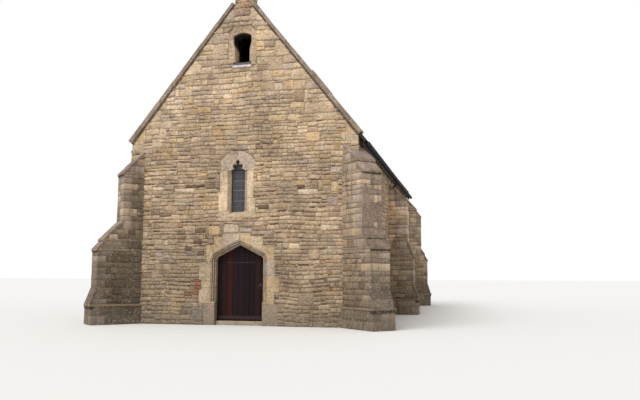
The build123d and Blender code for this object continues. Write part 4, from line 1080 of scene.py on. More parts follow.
def lay_drip(rng, place, wall_at, reach, half, foot):
    """The overhanging bed at the foot of a weathering, and under it a dark strip that paints its shadow,
    partly a damp stain.
    """
    stone = settings("stone")
    split = rng.uniform(-0.1, 0.1)
    places = []
    low_down = foot < 1
    level = 0.6 if low_down else 0.8 if foot < 3 else 0.9
    out, top = reach + DRIP + 0.008, foot + DRIP_HEIGHT + 0.004
    for a, b in ((-half - 0.008, split - 0.003), (split + 0.003, half + 0.008)):
        colour = mixed(stone.buff, stone.grey, rng.uniform(0.2, 0.7), level * rng.uniform(0.9, 1.1))
        places.append(block_place(place, (wall_at, a, foot - 0.002), (out, b, top), colour))
    # The dark strip under the drip: painted shadow, partly a damp stain
    across, depth, darkness = (half + 0.02, 0.08, 0.12) if low_down else (half, 0.045, 0.25)
    places.append(block_place(
        place, (reach - 0.1, -across, foot - depth), (reach + 0.022, across, foot - 0.001),
        shade(stone.brown, darkness)))
    return places


def lay_buttress(rng, place, kind, tone):
    """All stones of one buttress, in a frame whose X runs outwards from the wall."""
    wall_at = 0.0 if kind == "side" else -BUTTRESS_HALF
    stages, slopes, drips = buttress_outline(kind)
    places = []
    for stage in stages:
        places += lay_stage(rng, place, wall_at, stage, slopes, tone)
    for slope in slopes:
        places += lay_slope(rng, place, *slope)
    for drip in drips:
        places += lay_drip(rng, place, wall_at, *drip)
    return places


def buttress_frames():
    """Name, frame, kind and tone of each buttress."""
    spots = (
        ("front_left", -1, -1, "slim", FRONT_LEFT_TONE),
        ("front_right", 1, -1, "corner", FRONT_RIGHT_TONE),
        ("rear_left", -1, 1, "corner", PLAIN_TONE),
        ("rear_right", 1, 1, "corner", PLAIN_TONE),
        ("side_right", 1, 0, "side", SIDE_RIGHT_TONE),
        ("side_left", -1, 0, "side", PLAIN_TONE),
    )
    frames = []
    for name, side, end, kind, tone in spots:
        turn = math.degrees(math.atan2(end, side))
        frames.append((name, turned((side * WALL_X, end * REAR_Y, 0), turn), kind, tone))
    return frames


def add_render_patch(place):
    """The thin mauve render left on the end of the right front buttress."""
    reach = BUTTRESS_KINDS["corner"][0][3]
    half, foot, top = BUTTRESS_HALF - 0.003, PATCH_FOOT_Z, PATCH_TOP_Z
    bpy.ops.object.select_all(action="DESELECT")
    bpy.ops.mesh.primitive_grid_add(x_subdivisions=24, y_subdivisions=40, size=1, location=(0, 0, 0))
    patch = bpy.context.object
    patch.name = "buttress_render_patch"
    patch.data.transform(Matrix.Translation((0, 0, (foot + top) / 2)) @ Matrix.Rotation(math.pi / 2, 4, "X")
                         @ Matrix.Diagonal((2 * half, top - foot, 1, 1)))

    def bare(face):
        x, z = face.calc_center_median().xz
        ragged = 0.05 * field.noise(Vector((x * 9, 1.3, z * 7)))
        crest = 0.0
        for (a, low), (b, high) in zip(PATCH_EDGE, PATCH_EDGE[1:]):
            if a <= x <= b:
                crest = low + (high - low) * (x - a) / (b - a)
        notch = 0.06 < x < 0.2 and z < 3.0 + ragged
        return z > crest + ragged or notch

    open_mesh(patch)
    choose(patch, "FACE", bare)
    bpy.ops.mesh.delete(type="FACE")
    bpy.ops.mesh.select_all(action="SELECT")
    bpy.ops.mesh.extrude_region_move(TRANSFORM_OT_translate={"value": (0, 0.03, 0)})
    bpy.ops.mesh.select_all(action="SELECT")
    bpy.ops.mesh.normals_make_consistent(inside=False)
    bpy.ops.transform.vertex_random(offset=0.004, uniform=1.0, normal=0.0, seed=SEEDS["patch"])
    close_mesh()
    outwards = Matrix.Translation((0, -reach - 0.019, 0))
    patch.data.transform(place @ Matrix.Rotation(math.pi / 2, 4, "Z") @ outwards)
    tint(patch, mixed(settings("stone").mauve, settings("stone").grey, 0.3, 0.89))
    return patch


# Copings
def lay_coping(rng, side, end):
    """Coping stones up one rake, each a little out of line with the next, over a dark bed that paints the
    shadow under them, partly dirt.
    """
    stone = settings("stone")
    y0, y1 = sorted((end * abs(COPING_FRONT_Y), end * abs(COPING_BACK_Y)))
    slope = Matrix.Translation((side * WALL_X, 0, GABLE_FOOT_Z)) @ Matrix.Rotation(
        0 if side < 0 else math.pi, 4, "Z") @ Matrix.Rotation(-PITCH, 4, "Y")
    if side > 0:
        y0, y1 = -y1, -y0
    bed_y0, bed_y1 = sorted(-side * end * (REAR_Y + reach) for reach in (-0.01, 0.026))
    places = []
    s = 0.0
    while s < RAKE - 0.5:
        length = rng.uniform(*COPING_LENGTHS)
        colour = mixed(stone.grey, stone.mauve, rng.uniform(0.1, 0.5), rng.uniform(0.92, 1.12))
        slip = rng.uniform(-0.004, 0.004)
        raised = 0.022 if side > 0 and 1.2 < s < 2.0 else 0.0
        taper = (COPING_AT_TOP - COPING) * (s + length / 2) / RAKE
        top = COPING + taper + rng.uniform(-0.006, 0.006) + raised
        places.append(block_place(
            slope, (s + 0.003, y0 + 0.004 + slip, 0.0), (s + length - 0.003, y1 - 0.004 + slip, top),
            colour, COPING_KIND))
        # The dark bed under each stone: painted shadow under the coping, partly dirt
        places.append(block_place(
            slope, (s, bed_y0, -0.035 + slip), (s + length, bed_y1, 0.01),
            shade(stone.brown, rng.uniform(0.3, 0.45))))
        s += length
    return places


# Stones cut from copies of the solids
def carve(source, name, planes, colour, width=0.004, dim=None):
    """One stone cut from a copy of a solid by planes that face outwards."""
    obj = copy_of(source, name)
    for point, outward in planes:
        cut(obj, point, outward)
    soften(obj, width)
    tint(obj, colour, dim)
    return obj


def level_planes(foot, top):
    """The planes of a course's two beds, half a joint inside it."""
    gap = settings("stone").dressed_joint / 2
    return [plane("Z", foot + gap, -1), plane("Z", top - gap, 1)]


def carve_bed(source, planes, wall_y):
    """Mortar behind the wall's face, cut from a copy of a solid."""
    behind = plane("Y", wall_y + MORTAR_DEPTH, -1)
    return carve(source, "bed", planes + [behind], settings("stone").mortar)


def carve_jambs(source, sides, wall_y, colour, dim):
    """The jamb stones on both sides of an opening, and mortar on the rest of the solid beside each."""
    blocks = []
    for side, courses in sides:
        for foot, top, reach in courses:
            course = level_planes(foot, top) + [plane("X", 0, -side)]
            within, beyond = [plane("X", side * reach, facing) for facing in (side, -side)]
            blocks.append(carve(source, "block", course + [within], colour(side, foot), dim=dim))
            blocks.append(carve_bed(source, course + [beyond], wall_y))
    remove([source])
    return blocks


def door_growth(x, z):
    """How far a point lies outside the doorway's clear outline."""
    across, up = abs(x) - (DOOR_HALF - DOOR_HAUNCH), z - DOOR_SPRING_Z
    if up <= 0:
        return across - DOOR_HAUNCH
    if across > 0 and math.atan2(up, across) < math.pi / 2 - DOOR_LEG:
        return math.hypot(across, up) - DOOR_HAUNCH
    return across * math.sin(DOOR_LEG) + up * math.cos(DOOR_LEG) - DOOR_HAUNCH


def mould_dim(point):
    """Painted shade in the quirks between the doorway's rolls, on their recessed faces, and deeper in the
    reveal behind them.
    """
    depth = point.y - FRONT_Y
    growth = door_growth(point.x, point.z)
    if depth > 0.1:
        return 0.55
    if depth > 0.003 and min(abs(growth - quirk) for quirk in DOOR_QUIRKS) < 0.008:
        return 0.28
    return 0.82 if depth > 0.003 else 1.0


def window_dim(point):
    """Painted shade in a window's reveal and painted light on its part nearest the glass, in the window's
    own frame.
    """
    return 1.0 if point.y < 0.001 else 0.55 if point.y < 0.046 else 1.1


def sill_dim(point):
    """A pale lower edge on the bell opening's sill."""
    return 2.0 if point.z < BELL_SILL_BOX[0].z + 0.06 else 0.32


def bell_dim(point):
    """Painted deep shade in the upper part of the bell opening behind its rim, and painted light on the
    lower reveal.
    """
    depth = point.y - FRONT_Y
    if depth < 0.002:
        return 1.0
    if point.z < BELL_SHADE_Z:
        return 1.5 if depth < 0.13 else 1.0
    return 0.8 if depth < 0.01 else 0.05


# Window bars
def add_bars(name, sizes, front, bevel=0.0):
    """One piece of flat bars against the glass: each as its ends, foot and top."""
    return join(name, [add_block(name, (a, GLASS_DEPTH - front, low), (b, GLASS_DEPTH + 0.002, high), bevel)
                       for a, b, low, high in sizes])


def add_casement():
    """The iron frame of one window and the bar at its springing."""
    half, rim, top = WINDOW_LIGHT_HALF, WINDOW_RIM, WINDOW_SPRING
    sizes = [
        (-half, -half + rim, 0.0, top),
        (half - rim, half, 0.0, top),
        (-half + rim, half - rim, 0.0, rim),
        (-half, half, top - 0.005, top + 0.035),
    ]
    return add_bars("casement", sizes, 0.022, 0.003)


def add_leads():
    """The saddle bars and leads of one window."""
    half, rim, foot, top = WINDOW_LIGHT_HALF - WINDOW_RIM, 0.006, WINDOW_RIM, WINDOW_SPRING - 0.005
    sizes = [(-half, half, z - 0.006, z + 0.006) for z in SADDLE_BARS]
    sizes += [
        (-half, -half + rim, foot, top),
        (half - rim, half, foot, top),
        (-half, half, foot, foot + rim),
        (-half, half, top - rim, top),
    ]
    sizes += [(-half, half, z - 0.002, z + 0.002) for z in CROSS_LEADS]
    sizes += [(x - 0.002, x + 0.002, foot, top) for x in UPRIGHT_LEADS]
    return add_bars("leads", sizes, 0.008)


# Roof
def roof_frame(side):
    """A frame at the ridge whose X runs down one slope."""
    turn = Matrix.Rotation(0 if side > 0 else math.pi, 4, "Z")
    return Matrix.Translation((0, 0, APEX_Z)) @ turn @ Matrix.Rotation(PITCH, 4, "Y")


def lay_slates(rng, side, run):
    """The slates of one slope, in courses that grow narrower towards the ridge."""
    roof = settings("roof")
    places = []
    s = run + (EAVE_LAP if side > 0 else 0.0)
    while s > 0.1:
        share = s / run
        show = roof.ridge_course + (roof.eave_course - roof.ridge_course) * share
        length = min(2.2 * show, s)
        lie = Matrix.Rotation(-math.asin(min(0.5, roof.slate * 1.3 / show * 0.6)), 4, "Y")
        start, end = COPING_BACK_Y + 0.003, -COPING_BACK_Y - 0.003
        for y, width in uneven(start, end, lambda y: rng.uniform(0.5, 1.15) * (0.16 + 0.22 * share), 0.097):
            base = rng.choices((roof.slate_brown, roof.slate_grey, roof.slate_dark), (5, 3, 2))[0]
            tail = Matrix.Translation((s - rng.uniform(0, 0.012), 0, TAIL_HEIGHT))
            low = (-length, y + 0.002, -roof.slate + rng.uniform(-0.002, 0.002))
            high = (0, y + width - 0.002, rng.uniform(-0.001, 0.002))
            colour = shade(base, rng.uniform(0.8, 1.2))
            places.append(block_place(roof_frame(side) @ tail @ lie, low, high, colour))
        s -= show
    return places


def lay_eave_end(rng, run):
    """The two layers of slates on the short end of the right eave, in front of the coping's back."""
    roof = settings("roof")
    places = []
    for y, width in uneven(FRONT_Y + 0.003, COPING_BACK_Y, lambda y: rng.uniform(*EAVE_SLATES), 0.0):
        for level in (0.046, 0.082):
            low = (RAKE + 0.01, y + 0.002, level - roof.slate)
            high = (run + 0.015, y + width - 0.002, level)
            # The dark slate colour here is painted shade under the eave
            colour = shade(roof.slate_dark, rng.uniform(0.8, 1.2))
            places.append(block_place(roof_frame(1), low, high, colour))
    return places


# Materials
def plug(tree, node, inputs):
    """Set a node's sockets, or link them."""
    for key, value in inputs.items():
        socket = node.inputs[key]
        if isinstance(value, bpy.types.NodeSocket):
            tree.links.new(value, socket)
        else:
            socket.default_value = value


def add_node(tree, kind, inputs=None, **values):
    """A node with its settings and sockets set or linked."""
    node = tree.nodes.new(kind)
    for key, value in values.items():
        setattr(node, key, value)
    plug(tree, node, inputs or {})
    return node


def object_place(tree):
    """Where a point lies, in metres from the piece's origin."""
    return add_node(tree, "ShaderNodeTexCoord").outputs["Object"]


def grain_place(tree, scale):
    """Where a point lies, with its axes scaled so that grain runs along one of them."""
    return add_node(tree, "ShaderNodeMapping", {"Vector": object_place(tree), "Scale": scale}).outputs[0]


def own_tint(tree):
    """The colour that each stone or board of a piece has of its own, with any painted shade and light in
    it.
    """
    return add_node(tree, "ShaderNodeAttribute", attribute_name="tint").outputs["Color"]


def mix(tree, factor, first, second, blend_type="MIX"):
    """The result of mixing two colours."""
    inputs = {0: factor, 6: first, 7: second}
    return add_node(tree, "ShaderNodeMix", inputs, data_type="RGBA", blend_type=blend_type).outputs[2]


def math_node(tree, operation, first, second=0.0):
    """The result of a sum, product or other operation."""
    return add_node(tree, "ShaderNodeMath", {0: first, 1: second}, operation=operation).outputs[0]


def plus(tree, first, second):
    """The sum of two values."""
    return math_node(tree, "ADD", first, second)


def times(tree, first, second):
    """The product of two values."""
    return math_node(tree, "MULTIPLY", first, second)


def between(tree, value, low, high, out_low=0.0, out_high=1.0):
    """A value spread between two limits."""
    inputs = {"Value": value, "From Min": low, "From Max": high, "To Min": out_low, "To Max": out_high}
    return add_node(tree, "ShaderNodeMapRange", inputs).outputs[0]


def stretched(tree, vector, scale):
    """A place with its axes scaled."""
    return add_node(tree, "ShaderNodeVectorMath", {0: vector, 1: scale}, operation="MULTIPLY").outputs[0]


def noise(tree, vector, scale, detail=4.0, roughness=0.6):
    """Noise of one scale."""
    return add_node(tree, "ShaderNodeTexNoise", {
        "Vector": vector, "Scale": scale, "Detail": detail, "Roughness": roughness}).outputs["Fac"]


def dimmed(tree, colour, level):
    """A colour made lighter or darker by a value."""
    grey = add_node(tree, "ShaderNodeCombineColor", {"Red": level, "Green": level, "Blue": level})
    return mix(tree, 1.0, colour, grey.outputs[0], "MULTIPLY")


def relief(tree, height, distance, strength):
    """A normal that lets a height show."""
    return add_node(tree, "ShaderNodeBump", {
        "Height": height, "Distance": distance, "Strength": strength}).outputs[0]


def new_group(name, inputs, outputs):
    """A shader node group with named sockets, and its two end nodes."""
    group = bpy.data.node_groups.new(name, "ShaderNodeTree")
    for label, kind in inputs:
        group.interface.new_socket(label, in_out="INPUT", socket_type="NodeSocket" + kind)
    for label, kind in outputs:
        group.interface.new_socket(label, in_out="OUTPUT", socket_type="NodeSocket" + kind)
    return group, group.nodes.new("NodeGroupInput").outputs, group.nodes.new("NodeGroupOutput")


def stone_group():
    """Mottling, lichen, damp, painted shade in open gaps and a rough surface for stone and mortar."""
    group, own, end = new_group(
        "Weathered stone",
        [("Colour", "Color")] + [(label, "Float") for label in STONE_SHARES],
        [("Colour", "Color"), ("Roughness", "Float"), ("Height", "Float")])
    place = object_place(group)
    layers = add_node(group, "ShaderNodeCombineXYZ", {"X": 1.0, "Y": 1.0, "Z": own["Layers"]}).outputs[0]
    layered = stretched(group, place, layers)
    broad = noise(group, place, 1.3, 3.0)
    patch = noise(group, layered, 14.0, 4.0)
    fine = noise(group, layered, 38.0, 5.0, 0.7)

    def swing(value, reach):
        return between(group, value, 0.3, 0.7, -reach, reach)

    level = plus(group, plus(group, swing(broad, 0.5), swing(fine, 0.5)), swing(patch, 0.6))
    level = plus(group, times(group, level, own["Mottle"]), 1.0)
    colour = dimmed(group, own["Colour"], level)
    cool = between(group, noise(group, place, 2.3, 3.0), 0.46, 0.6, 0.0, 0.8)
    colour = mix(group, cool, colour, mix(group, 1.0, colour, (0.95, 0.96, 1.02, 1.0), "MULTIPLY"))
    streaks = between(group, noise(group, stretched(group, place, (1.0, 1.0, 0.1)), 7.0, 3.0), 0.5, 0.66)
    colour = mix(group, times(group, streaks, own["Streaks"]), colour, paint("5E5046"))
    # Dark bands in the bed joints: painted shade in open gaps, which are also sunk in the relief
    beds = noise(group, stretched(group, place, (1.0, 1.0, 4.0)), 5.0, 4.0, 0.6)
    gap = times(group, own["Shaded gaps"], between(group, beds, 0.585, 0.64))
    colour = mix(group, gap, colour, paint("5A4430"))
    spots = noise(group, place, 16.0, 6.0, 0.75)
    growth = times(group, own["Lichen"], between(group, spots, 0.56, 0.66))
    colour = mix(group, growth, colour, paint("B4B0A0"))
    height = add_node(group, "ShaderNodeSeparateXYZ", {0: place}).outputs["Z"]
    low = between(group, height, 0.75, 0.02)
    damp = times(group, low, between(group, broad, 0.35, 0.6, 0.25, 0.7))
    colour = mix(group, damp, colour, paint("74685B"))
    spotted = times(group, low, between(group, spots, 0.5, 0.64, 0.0, 0.35))
    colour = mix(group, spotted, colour, paint("A9A793"))
    surface = plus(group, noise(group, layered, 18.0, 6.0, 0.7), times(group, fine, 0.5))
    surface = times(group, math_node(group, "SUBTRACT", surface, gap), own["Grain"])
    roughness = between(group, fine, 0.2, 0.8, 0.82, 0.98)
    plug(group, end, {"Colour": colour, "Roughness": roughness, "Height": surface})


def oak_group():
    """Fibres between a light and a dark colour."""
    group, own, end = new_group(
        "Oak grain", (("Vector", "Vector"), ("Light", "Color"), ("Dark", "Color")),
        (("Colour", "Color"), ("Height", "Float")))
    fibre = noise(group, own["Vector"], 6.0, 6.0, 0.65)
    broad = noise(group, own["Vector"], 1.2, 3.0)
    both = plus(group, times(group, fibre, 0.6), times(group, broad, 0.4))
    plug(group, end, {"Colour": mix(group, between(group, both, 0.35, 0.65), own["Dark"], own["Light"]),
                      "Height": fibre})


def group_node(tree, name, build, inputs):
    """A node group in a material, built when it is first used."""
    if name not in bpy.data.node_groups:
        build()
    return add_node(tree, "ShaderNodeGroup", inputs, node_tree=bpy.data.node_groups[name]).outputs


def new_material(name):
    """An empty node material with its shader."""
    material = bpy.data.materials.new(name)
    material.use_nodes = True
    tree = material.node_tree
    return material, tree, tree.nodes["Principled BSDF"]


def stone_material(name, colour=None):
    """A stone finish over the pieces' own colours, or over one colour."""
    if name in bpy.data.materials:
        return bpy.data.materials[name]
    material, tree, shader = new_material(name)
    inputs = dict(zip(STONE_SHARES, STONE_FINISHES[name]))
    inputs["Colour"] = colour or own_tint(tree)
    stone = group_node(tree, "Weathered stone", stone_group, inputs)
    plug(tree, shader, {"Base Color": stone["Colour"], "Roughness": stone["Roughness"],
                        "Normal": relief(tree, stone["Height"], 0.012, 0.6), "Specular IOR Level": 0.2})
    return material


def mortar_material():
    """Lime mortar outside, limewash inside, painted deep shade in the bell opening."""
    name = "Mortar and limewash"
    if name in bpy.data.materials:
        return bpy.data.materials[name]
    stone = settings("stone")
    material = stone_material(name, tuple(stone.mortar))
    tree = material.node_tree
    base = tree.nodes["Principled BSDF"].inputs["Base Color"]
    outside = base.links[0].from_socket
    place = object_place(tree)
    axes = add_node(tree, "ShaderNodeSeparateXYZ", {0: place}).outputs
    across, along = [math_node(tree, "ABSOLUTE", axes[axis]) for axis in "XY"]
    within_x = math_node(tree, "LESS_THAN", across, WALL_X - LIMEWASH_MARGIN)
    within_y = math_node(tree, "LESS_THAN", along, REAR_Y - LIMEWASH_MARGIN)
    inside = times(tree, within_x, within_y)
    cloud = noise(tree, place, 2.5, 5.0)
    wash = mix(tree, between(tree, cloud, 0.35, 0.7, 0.0, 0.35), tuple(stone.limewash), paint("B9AD96"))
    # The mortar inside the bell opening is nearly black: painted deep shade
    near_bell = math_node(tree, "LESS_THAN", across, BELL_REVEAL_HALF)
    above_foot = math_node(tree, "GREATER_THAN", axes["Z"], BELL_BOX[0].z - 0.2)
    in_wall = math_node(tree, "LESS_THAN", axes["Y"], FRONT_Y + WALL_DEPTH - 0.01)
    bell_shaded = times(tree, times(tree, near_bell, above_foot), in_wall)
    wash = mix(tree, bell_shaded, wash, paint("1A1512"))
    tree.links.new(mix(tree, inside, outside, wash), base)
    return material


def oak_material(name):
    """Oak with its grain along one axis of the building, or down the roof's slope."""
    if name in bpy.data.materials:
        return bpy.data.materials[name]
    material, tree, shader = new_material(name)
    light, dark, along = OAK_FINISHES[name]
    colour = settings("roof").oak
    oak = group_node(tree, "Oak grain", oak_group, {
        "Vector": grain_place(tree, along), "Light": shade(colour, light), "Dark": shade(colour, dark)})
    plug(tree, shader, {"Base Color": oak["Colour"], "Roughness": 0.75,
                        "Normal": relief(tree, oak["Height"], 0.004, 0.5)})
    return material


def iron_material(name, colour, roughness):
    """Painted or blackened iron with a little rust."""
    material, tree, shader = new_material(name)
    place = object_place(tree)
    cloud = noise(tree, place, 9.0, 6.0, 0.7)
    rusty = between(tree, cloud, 0.6, 0.72, 0.0, 0.5)
    plug(tree, shader, {"Base Color": mix(tree, rusty, tuple(colour), paint("4A2E20")),
                        "Roughness": between(tree, cloud, 0.3, 0.7, roughness - 0.1, roughness + 0.2),
                        "Normal": relief(tree, noise(tree, place, 60.0), 0.002, 0.3)})
    return material


def glass_material():
    """Old leaded glass, dull and slightly uneven."""
    material, tree, shader = new_material("Leaded glass")
    place = object_place(tree)
    cloud = between(tree, noise(tree, place, 5.0, 3.0), 0.35, 0.65)
    pane = tuple(settings("door").pane)
    ripple = relief(tree, noise(tree, place, 14.0), 0.004, 0.4)
    plug(tree, shader, {"Base Color": mix(tree, cloud, shade(pane, 0.75), pane), "Roughness": 0.22,
                        "Normal": ripple, "Specular IOR Level": 0.35})
    return material


def board_material():
    """Painted door boards over their own colours."""
    material, tree, shader = new_material("Door boards")
    fibre = noise(tree, grain_place(tree, (14.0, 14.0, 1.2)), 2.0, 6.0, 0.65)
    paintwork = dimmed(tree, own_tint(tree), between(tree, fibre, 0.3, 0.7, 0.7, 1.3))
    plug(tree, shader, {"Base Color": paintwork, "Roughness": 0.7,
                        "Normal": relief(tree, fibre, 0.004, 0.5), "Specular IOR Level": 0.15})
    return material


# Operators
class CHAPEL_OT_rubble(bpy.types.Operator):
    """Lay the rubble of the four walls"""

    bl_idname = "chapel.rubble"
    bl_label = "Rubble walls"

    def execute(self, context):
        stock = stone_stock()
        pieces = lay_walls(stock)
        clear_stock(stock)
        for piece in pieces:
            finish_piece(piece, "chapel", stone_material("Rubble stone"), "rubble")
        assign(mortar_material(), "front_wall_left", "front_wall_right", "front_gable",
               "rear_wall", "left_wall", "right_wall")
        return {"FINISHED"}


class CHAPEL_OT_buttresses(bpy.types.Operator):
    """Lay the stones and weatherings of the buttresses"""

    bl_idname = "chapel.buttresses"
    bl_label = "Buttresses"

    def execute(self, context):
        stock = stone_stock()
        frames = buttress_frames()
        for number, (name, place, kind, tone) in enumerate(frames):
            rng = random.Random(SEEDS["buttresses"] + number)
            piece = lay(name + "_buttress_stones", lay_buttress(rng, place, kind, tone), stock)
            paint_sky_shading(piece)
            finish_piece(piece, "chapel", stone_material("Weathering stone"), "rubble")
        clear_stock(stock)
        finish_piece(add_render_patch(frames[1][1]), "chapel", stone_material("Dressed stone"), "rubble")
        assign(stone_material("Damp mortar", shade(settings("stone").mortar, 0.55)),
               "front_buttress_left", "front_buttress_right", "rear_buttresses", "side_buttresses")
        return {"FINISHED"}


class CHAPEL_OT_copings(bpy.types.Operator):
    """Lay the coping stones and finish the footstones and saddle stones"""

    bl_idname = "chapel.copings"
    bl_label = "Copings"

    def execute(self, context):
        stone = settings("stone")
        stock = stone_stock()
        for end, name, nodes in ((-1, "front_coping_stones", ("front_coping_left", "front_coping_right")),
                                 (1, "rear_coping_stones", ("rear_copings",))):
            rakes = []
            for side in (-1, 1):
                rng = random.Random(SEEDS["copings"] + 3 * end + side)
                rake = lay("rake", lay_coping(rng, side, end), stock)
                cut(rake, *plane("X", side * (SADDLE_X[side] + 0.003), -side))
                rakes.append(rake)
            dress(name, rakes, *nodes, finish="Weathering stone")
        clear_stock(stock)
        dress_whole("saddle_stone_caps", "saddle_stones", 0.012, mixed(stone.grey, stone.pale, 0.35),
                    finish="Weathering stone")
        source = solid_copy("kneelers")
        rng = random.Random(SEEDS["footstones"])
        blocks = []
        for side in (-1, 1):
            for end in (-1, 1):
                for foot, top in zip(KNEELER_LEVELS, KNEELER_LEVELS[1:]):
                    worn = stone.grey if top < 6 else stone.ochre
                    colour = mixed(stone.pale, worn, rng.uniform(0.4, 0.6), rng.uniform(0.95, 1.05))
                    corner = [plane("X", 0, -side), plane("Y", 0, -end)]
                    blocks.append(carve(source, "block", level_planes(foot, top) + corner, colour, 0.006))
        remove([source])
        dress("coping_footstones", blocks, "kneelers")
        return {"FINISHED"}


class CHAPEL_OT_doorway(bpy.types.Operator):
    """Cut the doorway's jambs and arch into their stones"""

    bl_idname = "chapel.doorway"
    bl_label = "Doorway"

    def execute(self, context):
        stone = settings("stone")
        rng = random.Random(SEEDS["doorway"])
        warm_or_cool = (stone.ochre, stone.lavender, stone.buff)

        def jamb_colour(side, foot):
            worn = foot < 0.6
            other = stone.mauve if worn else rng.choice(warm_or_cool)
            return mixed(stone.pale, other, 0.45, rng.uniform(0.76, 0.86) - 0.16 * worn)

        jambs = carve_jambs(solid_copy("doorway_jambs"), JAMB_COURSES, FRONT_Y, jamb_colour, mould_dim)
        dress("doorway_jamb_stones", jambs, "doorway_jambs")
        for side, name in ((-1, "left"), (1, "right")):
            self.arch(rng, side, name, dict(ARCH_COURSES)[side], warm_or_cool)
        dress_whole("door_threshold", "door_step", 0.012, shade(stone.pale, 0.85), slot="flagstone")
        return {"FINISHED"}

    def arch(self, rng, side, name, courses, others):
        """One half of the arch, with mortar over the stones that end below its top and beyond the last."""
        stone = settings("stone")
        gap = stone.dressed_joint / 2
        source = solid_copy("doorway_arch_" + name)
        blocks = []
        for near, far, top in courses:
            other = rng.choice(others)
            colour = mixed(stone.pale, other, rng.uniform(0.2, 0.5), rng.uniform(0.8, 0.9))
            width = [plane("X", side * (near + gap), -side), plane("X", side * (far - gap), side)]
            below, above = [plane("Z", top, facing) for facing in (1, -1)]
            blocks.append(carve(source, "block", width + [below], colour, dim=mould_dim))
            if top < SURROUND_TOP_Z:
                blocks.append(carve_bed(source, width + [above], FRONT_Y))
        blocks.append(carve_bed(source, [plane("X", side * courses[-1][1], -side)], FRONT_Y))
        remove([source])
        dress("doorway_arch_stones_" + name, blocks, "doorway_arch_" + name)


class CHAPEL_OT_windows(bpy.types.Operator):
    """Dress and glaze the six windows"""

    bl_idname = "chapel.windows"
    bl_label = "Windows"

    def execute(self, context):
        stone = settings("stone")
        rng = random.Random(SEEDS["windows"])
        home = window_frames("front")[0]
        back = home.inverted()

        def jamb_colour(side, foot):
            own = blend(stone.pale, stone.ochre, 0.15) if side < 0 else blend(stone.pale, stone.mauve, 0.25)
            return shade(own, rng.uniform(1.04, 1.16))

        source = solid_copy("front_window_jambs", matrix=back)
        jambs = join("jambs", carve_jambs(source, WINDOW_COURSES, 0, jamb_colour, window_dim))
        head, sill = [solid_copy("front_window_" + part, part, back) for part in ("head", "sill")]
        for model in (head, sill):
            soften(model, 0.003)
        tint(head, mixed(stone.pale, stone.lavender, 0.5, 0.98), window_dim)
        tint(sill, mixed(stone.pale, stone.buff, 0.6, 0.9))
        for model, front, nave, front_node, nave_node in (
            (jambs, "jamb_stones", "jamb_stones", "jambs", "jambs"),
            (head, "head_stone", "head_stones", "head", "heads"),
            (sill, "sill_stone", "sill_stones", "sill", "sills"),
        ):
            twins = [copy_of(model, "twin", place) for place in window_frames(*NAVE_WALLS)]
            dress("front_window_" + front, [copy_of(model, "twin", home)], "front_window_" + front_node)
            dress("nave_window_" + nave, twins, "nave_window_" + nave_node)
        remove([jambs, head, sill])
        door = settings("door")
        for name, model, material in (
            ("window_leads", add_leads(), iron_material("Lead", door.lead, 0.6)),
            ("window_casements", add_casement(), iron_material("Casement iron", paint("191113"), 0.6)),
        ):
            twins = [copy_of(model, "twin", place) for place in window_frames("front", *NAVE_WALLS)]
            remove([model])
            finish_piece(join(name, twins), "chapel", material, "leaded_glass")
        assign(glass_material(), "front_window_glass", "nave_window_glass")
        return {"FINISHED"}


class CHAPEL_OT_bell_opening(bpy.types.Operator):
    """Dress the bell opening"""

    bl_idname = "chapel.bell_opening"
    bl_label = "Bell opening"

    def execute(self, context):
        stone = settings("stone")
        rng = random.Random(SEEDS["bell"])
        gap = stone.dressed_joint / 2
        source = solid_copy("bell_surround")
        open_mesh(source)
        bpy.ops.mesh.bisect(plane_co=(0, FRONT_Y + 0.12, 0), plane_no=(0, 1, 0))
        close_mesh()
        foot, top = BELL_BOX[0].z, BELL_BOX[1].z
        levels = [foot] + [foot + bed for bed in BELL_BEDS] + [top]
        blocks = []
        for side in (-1, 1):
            corner = (side * BELL_BOX[1].x, 0, top - BELL_CHAMFER)
            within, beyond = (corner, (side, 0, 1)), (corner, (-side, 0, -1))
            for low, high in zip(levels, levels[1:]):
                course = level_planes(low, high) + [plane("X", side * gap, -side)]
                other = rng.choice((stone.ochre, stone.pale, stone.mauve))
                colour = mixed(stone.buff, other, 0.35, rng.uniform(0.95, 1.1))
                blocks.append(carve(source, "block", course + [within], colour, dim=bell_dim))
                if high == top:
                    blocks.append(carve_bed(source, course + [beyond], FRONT_Y))
        remove([source])
        dress("bell_opening_stones", blocks, "bell_surround")
        colour = mixed(stone.lavender, paint("A7A3B0"), 0.5, 0.95)
        dress_whole("bell_opening_sill", "bell_sill", 0.006, colour, sill_dim)
        return {"FINISHED"}


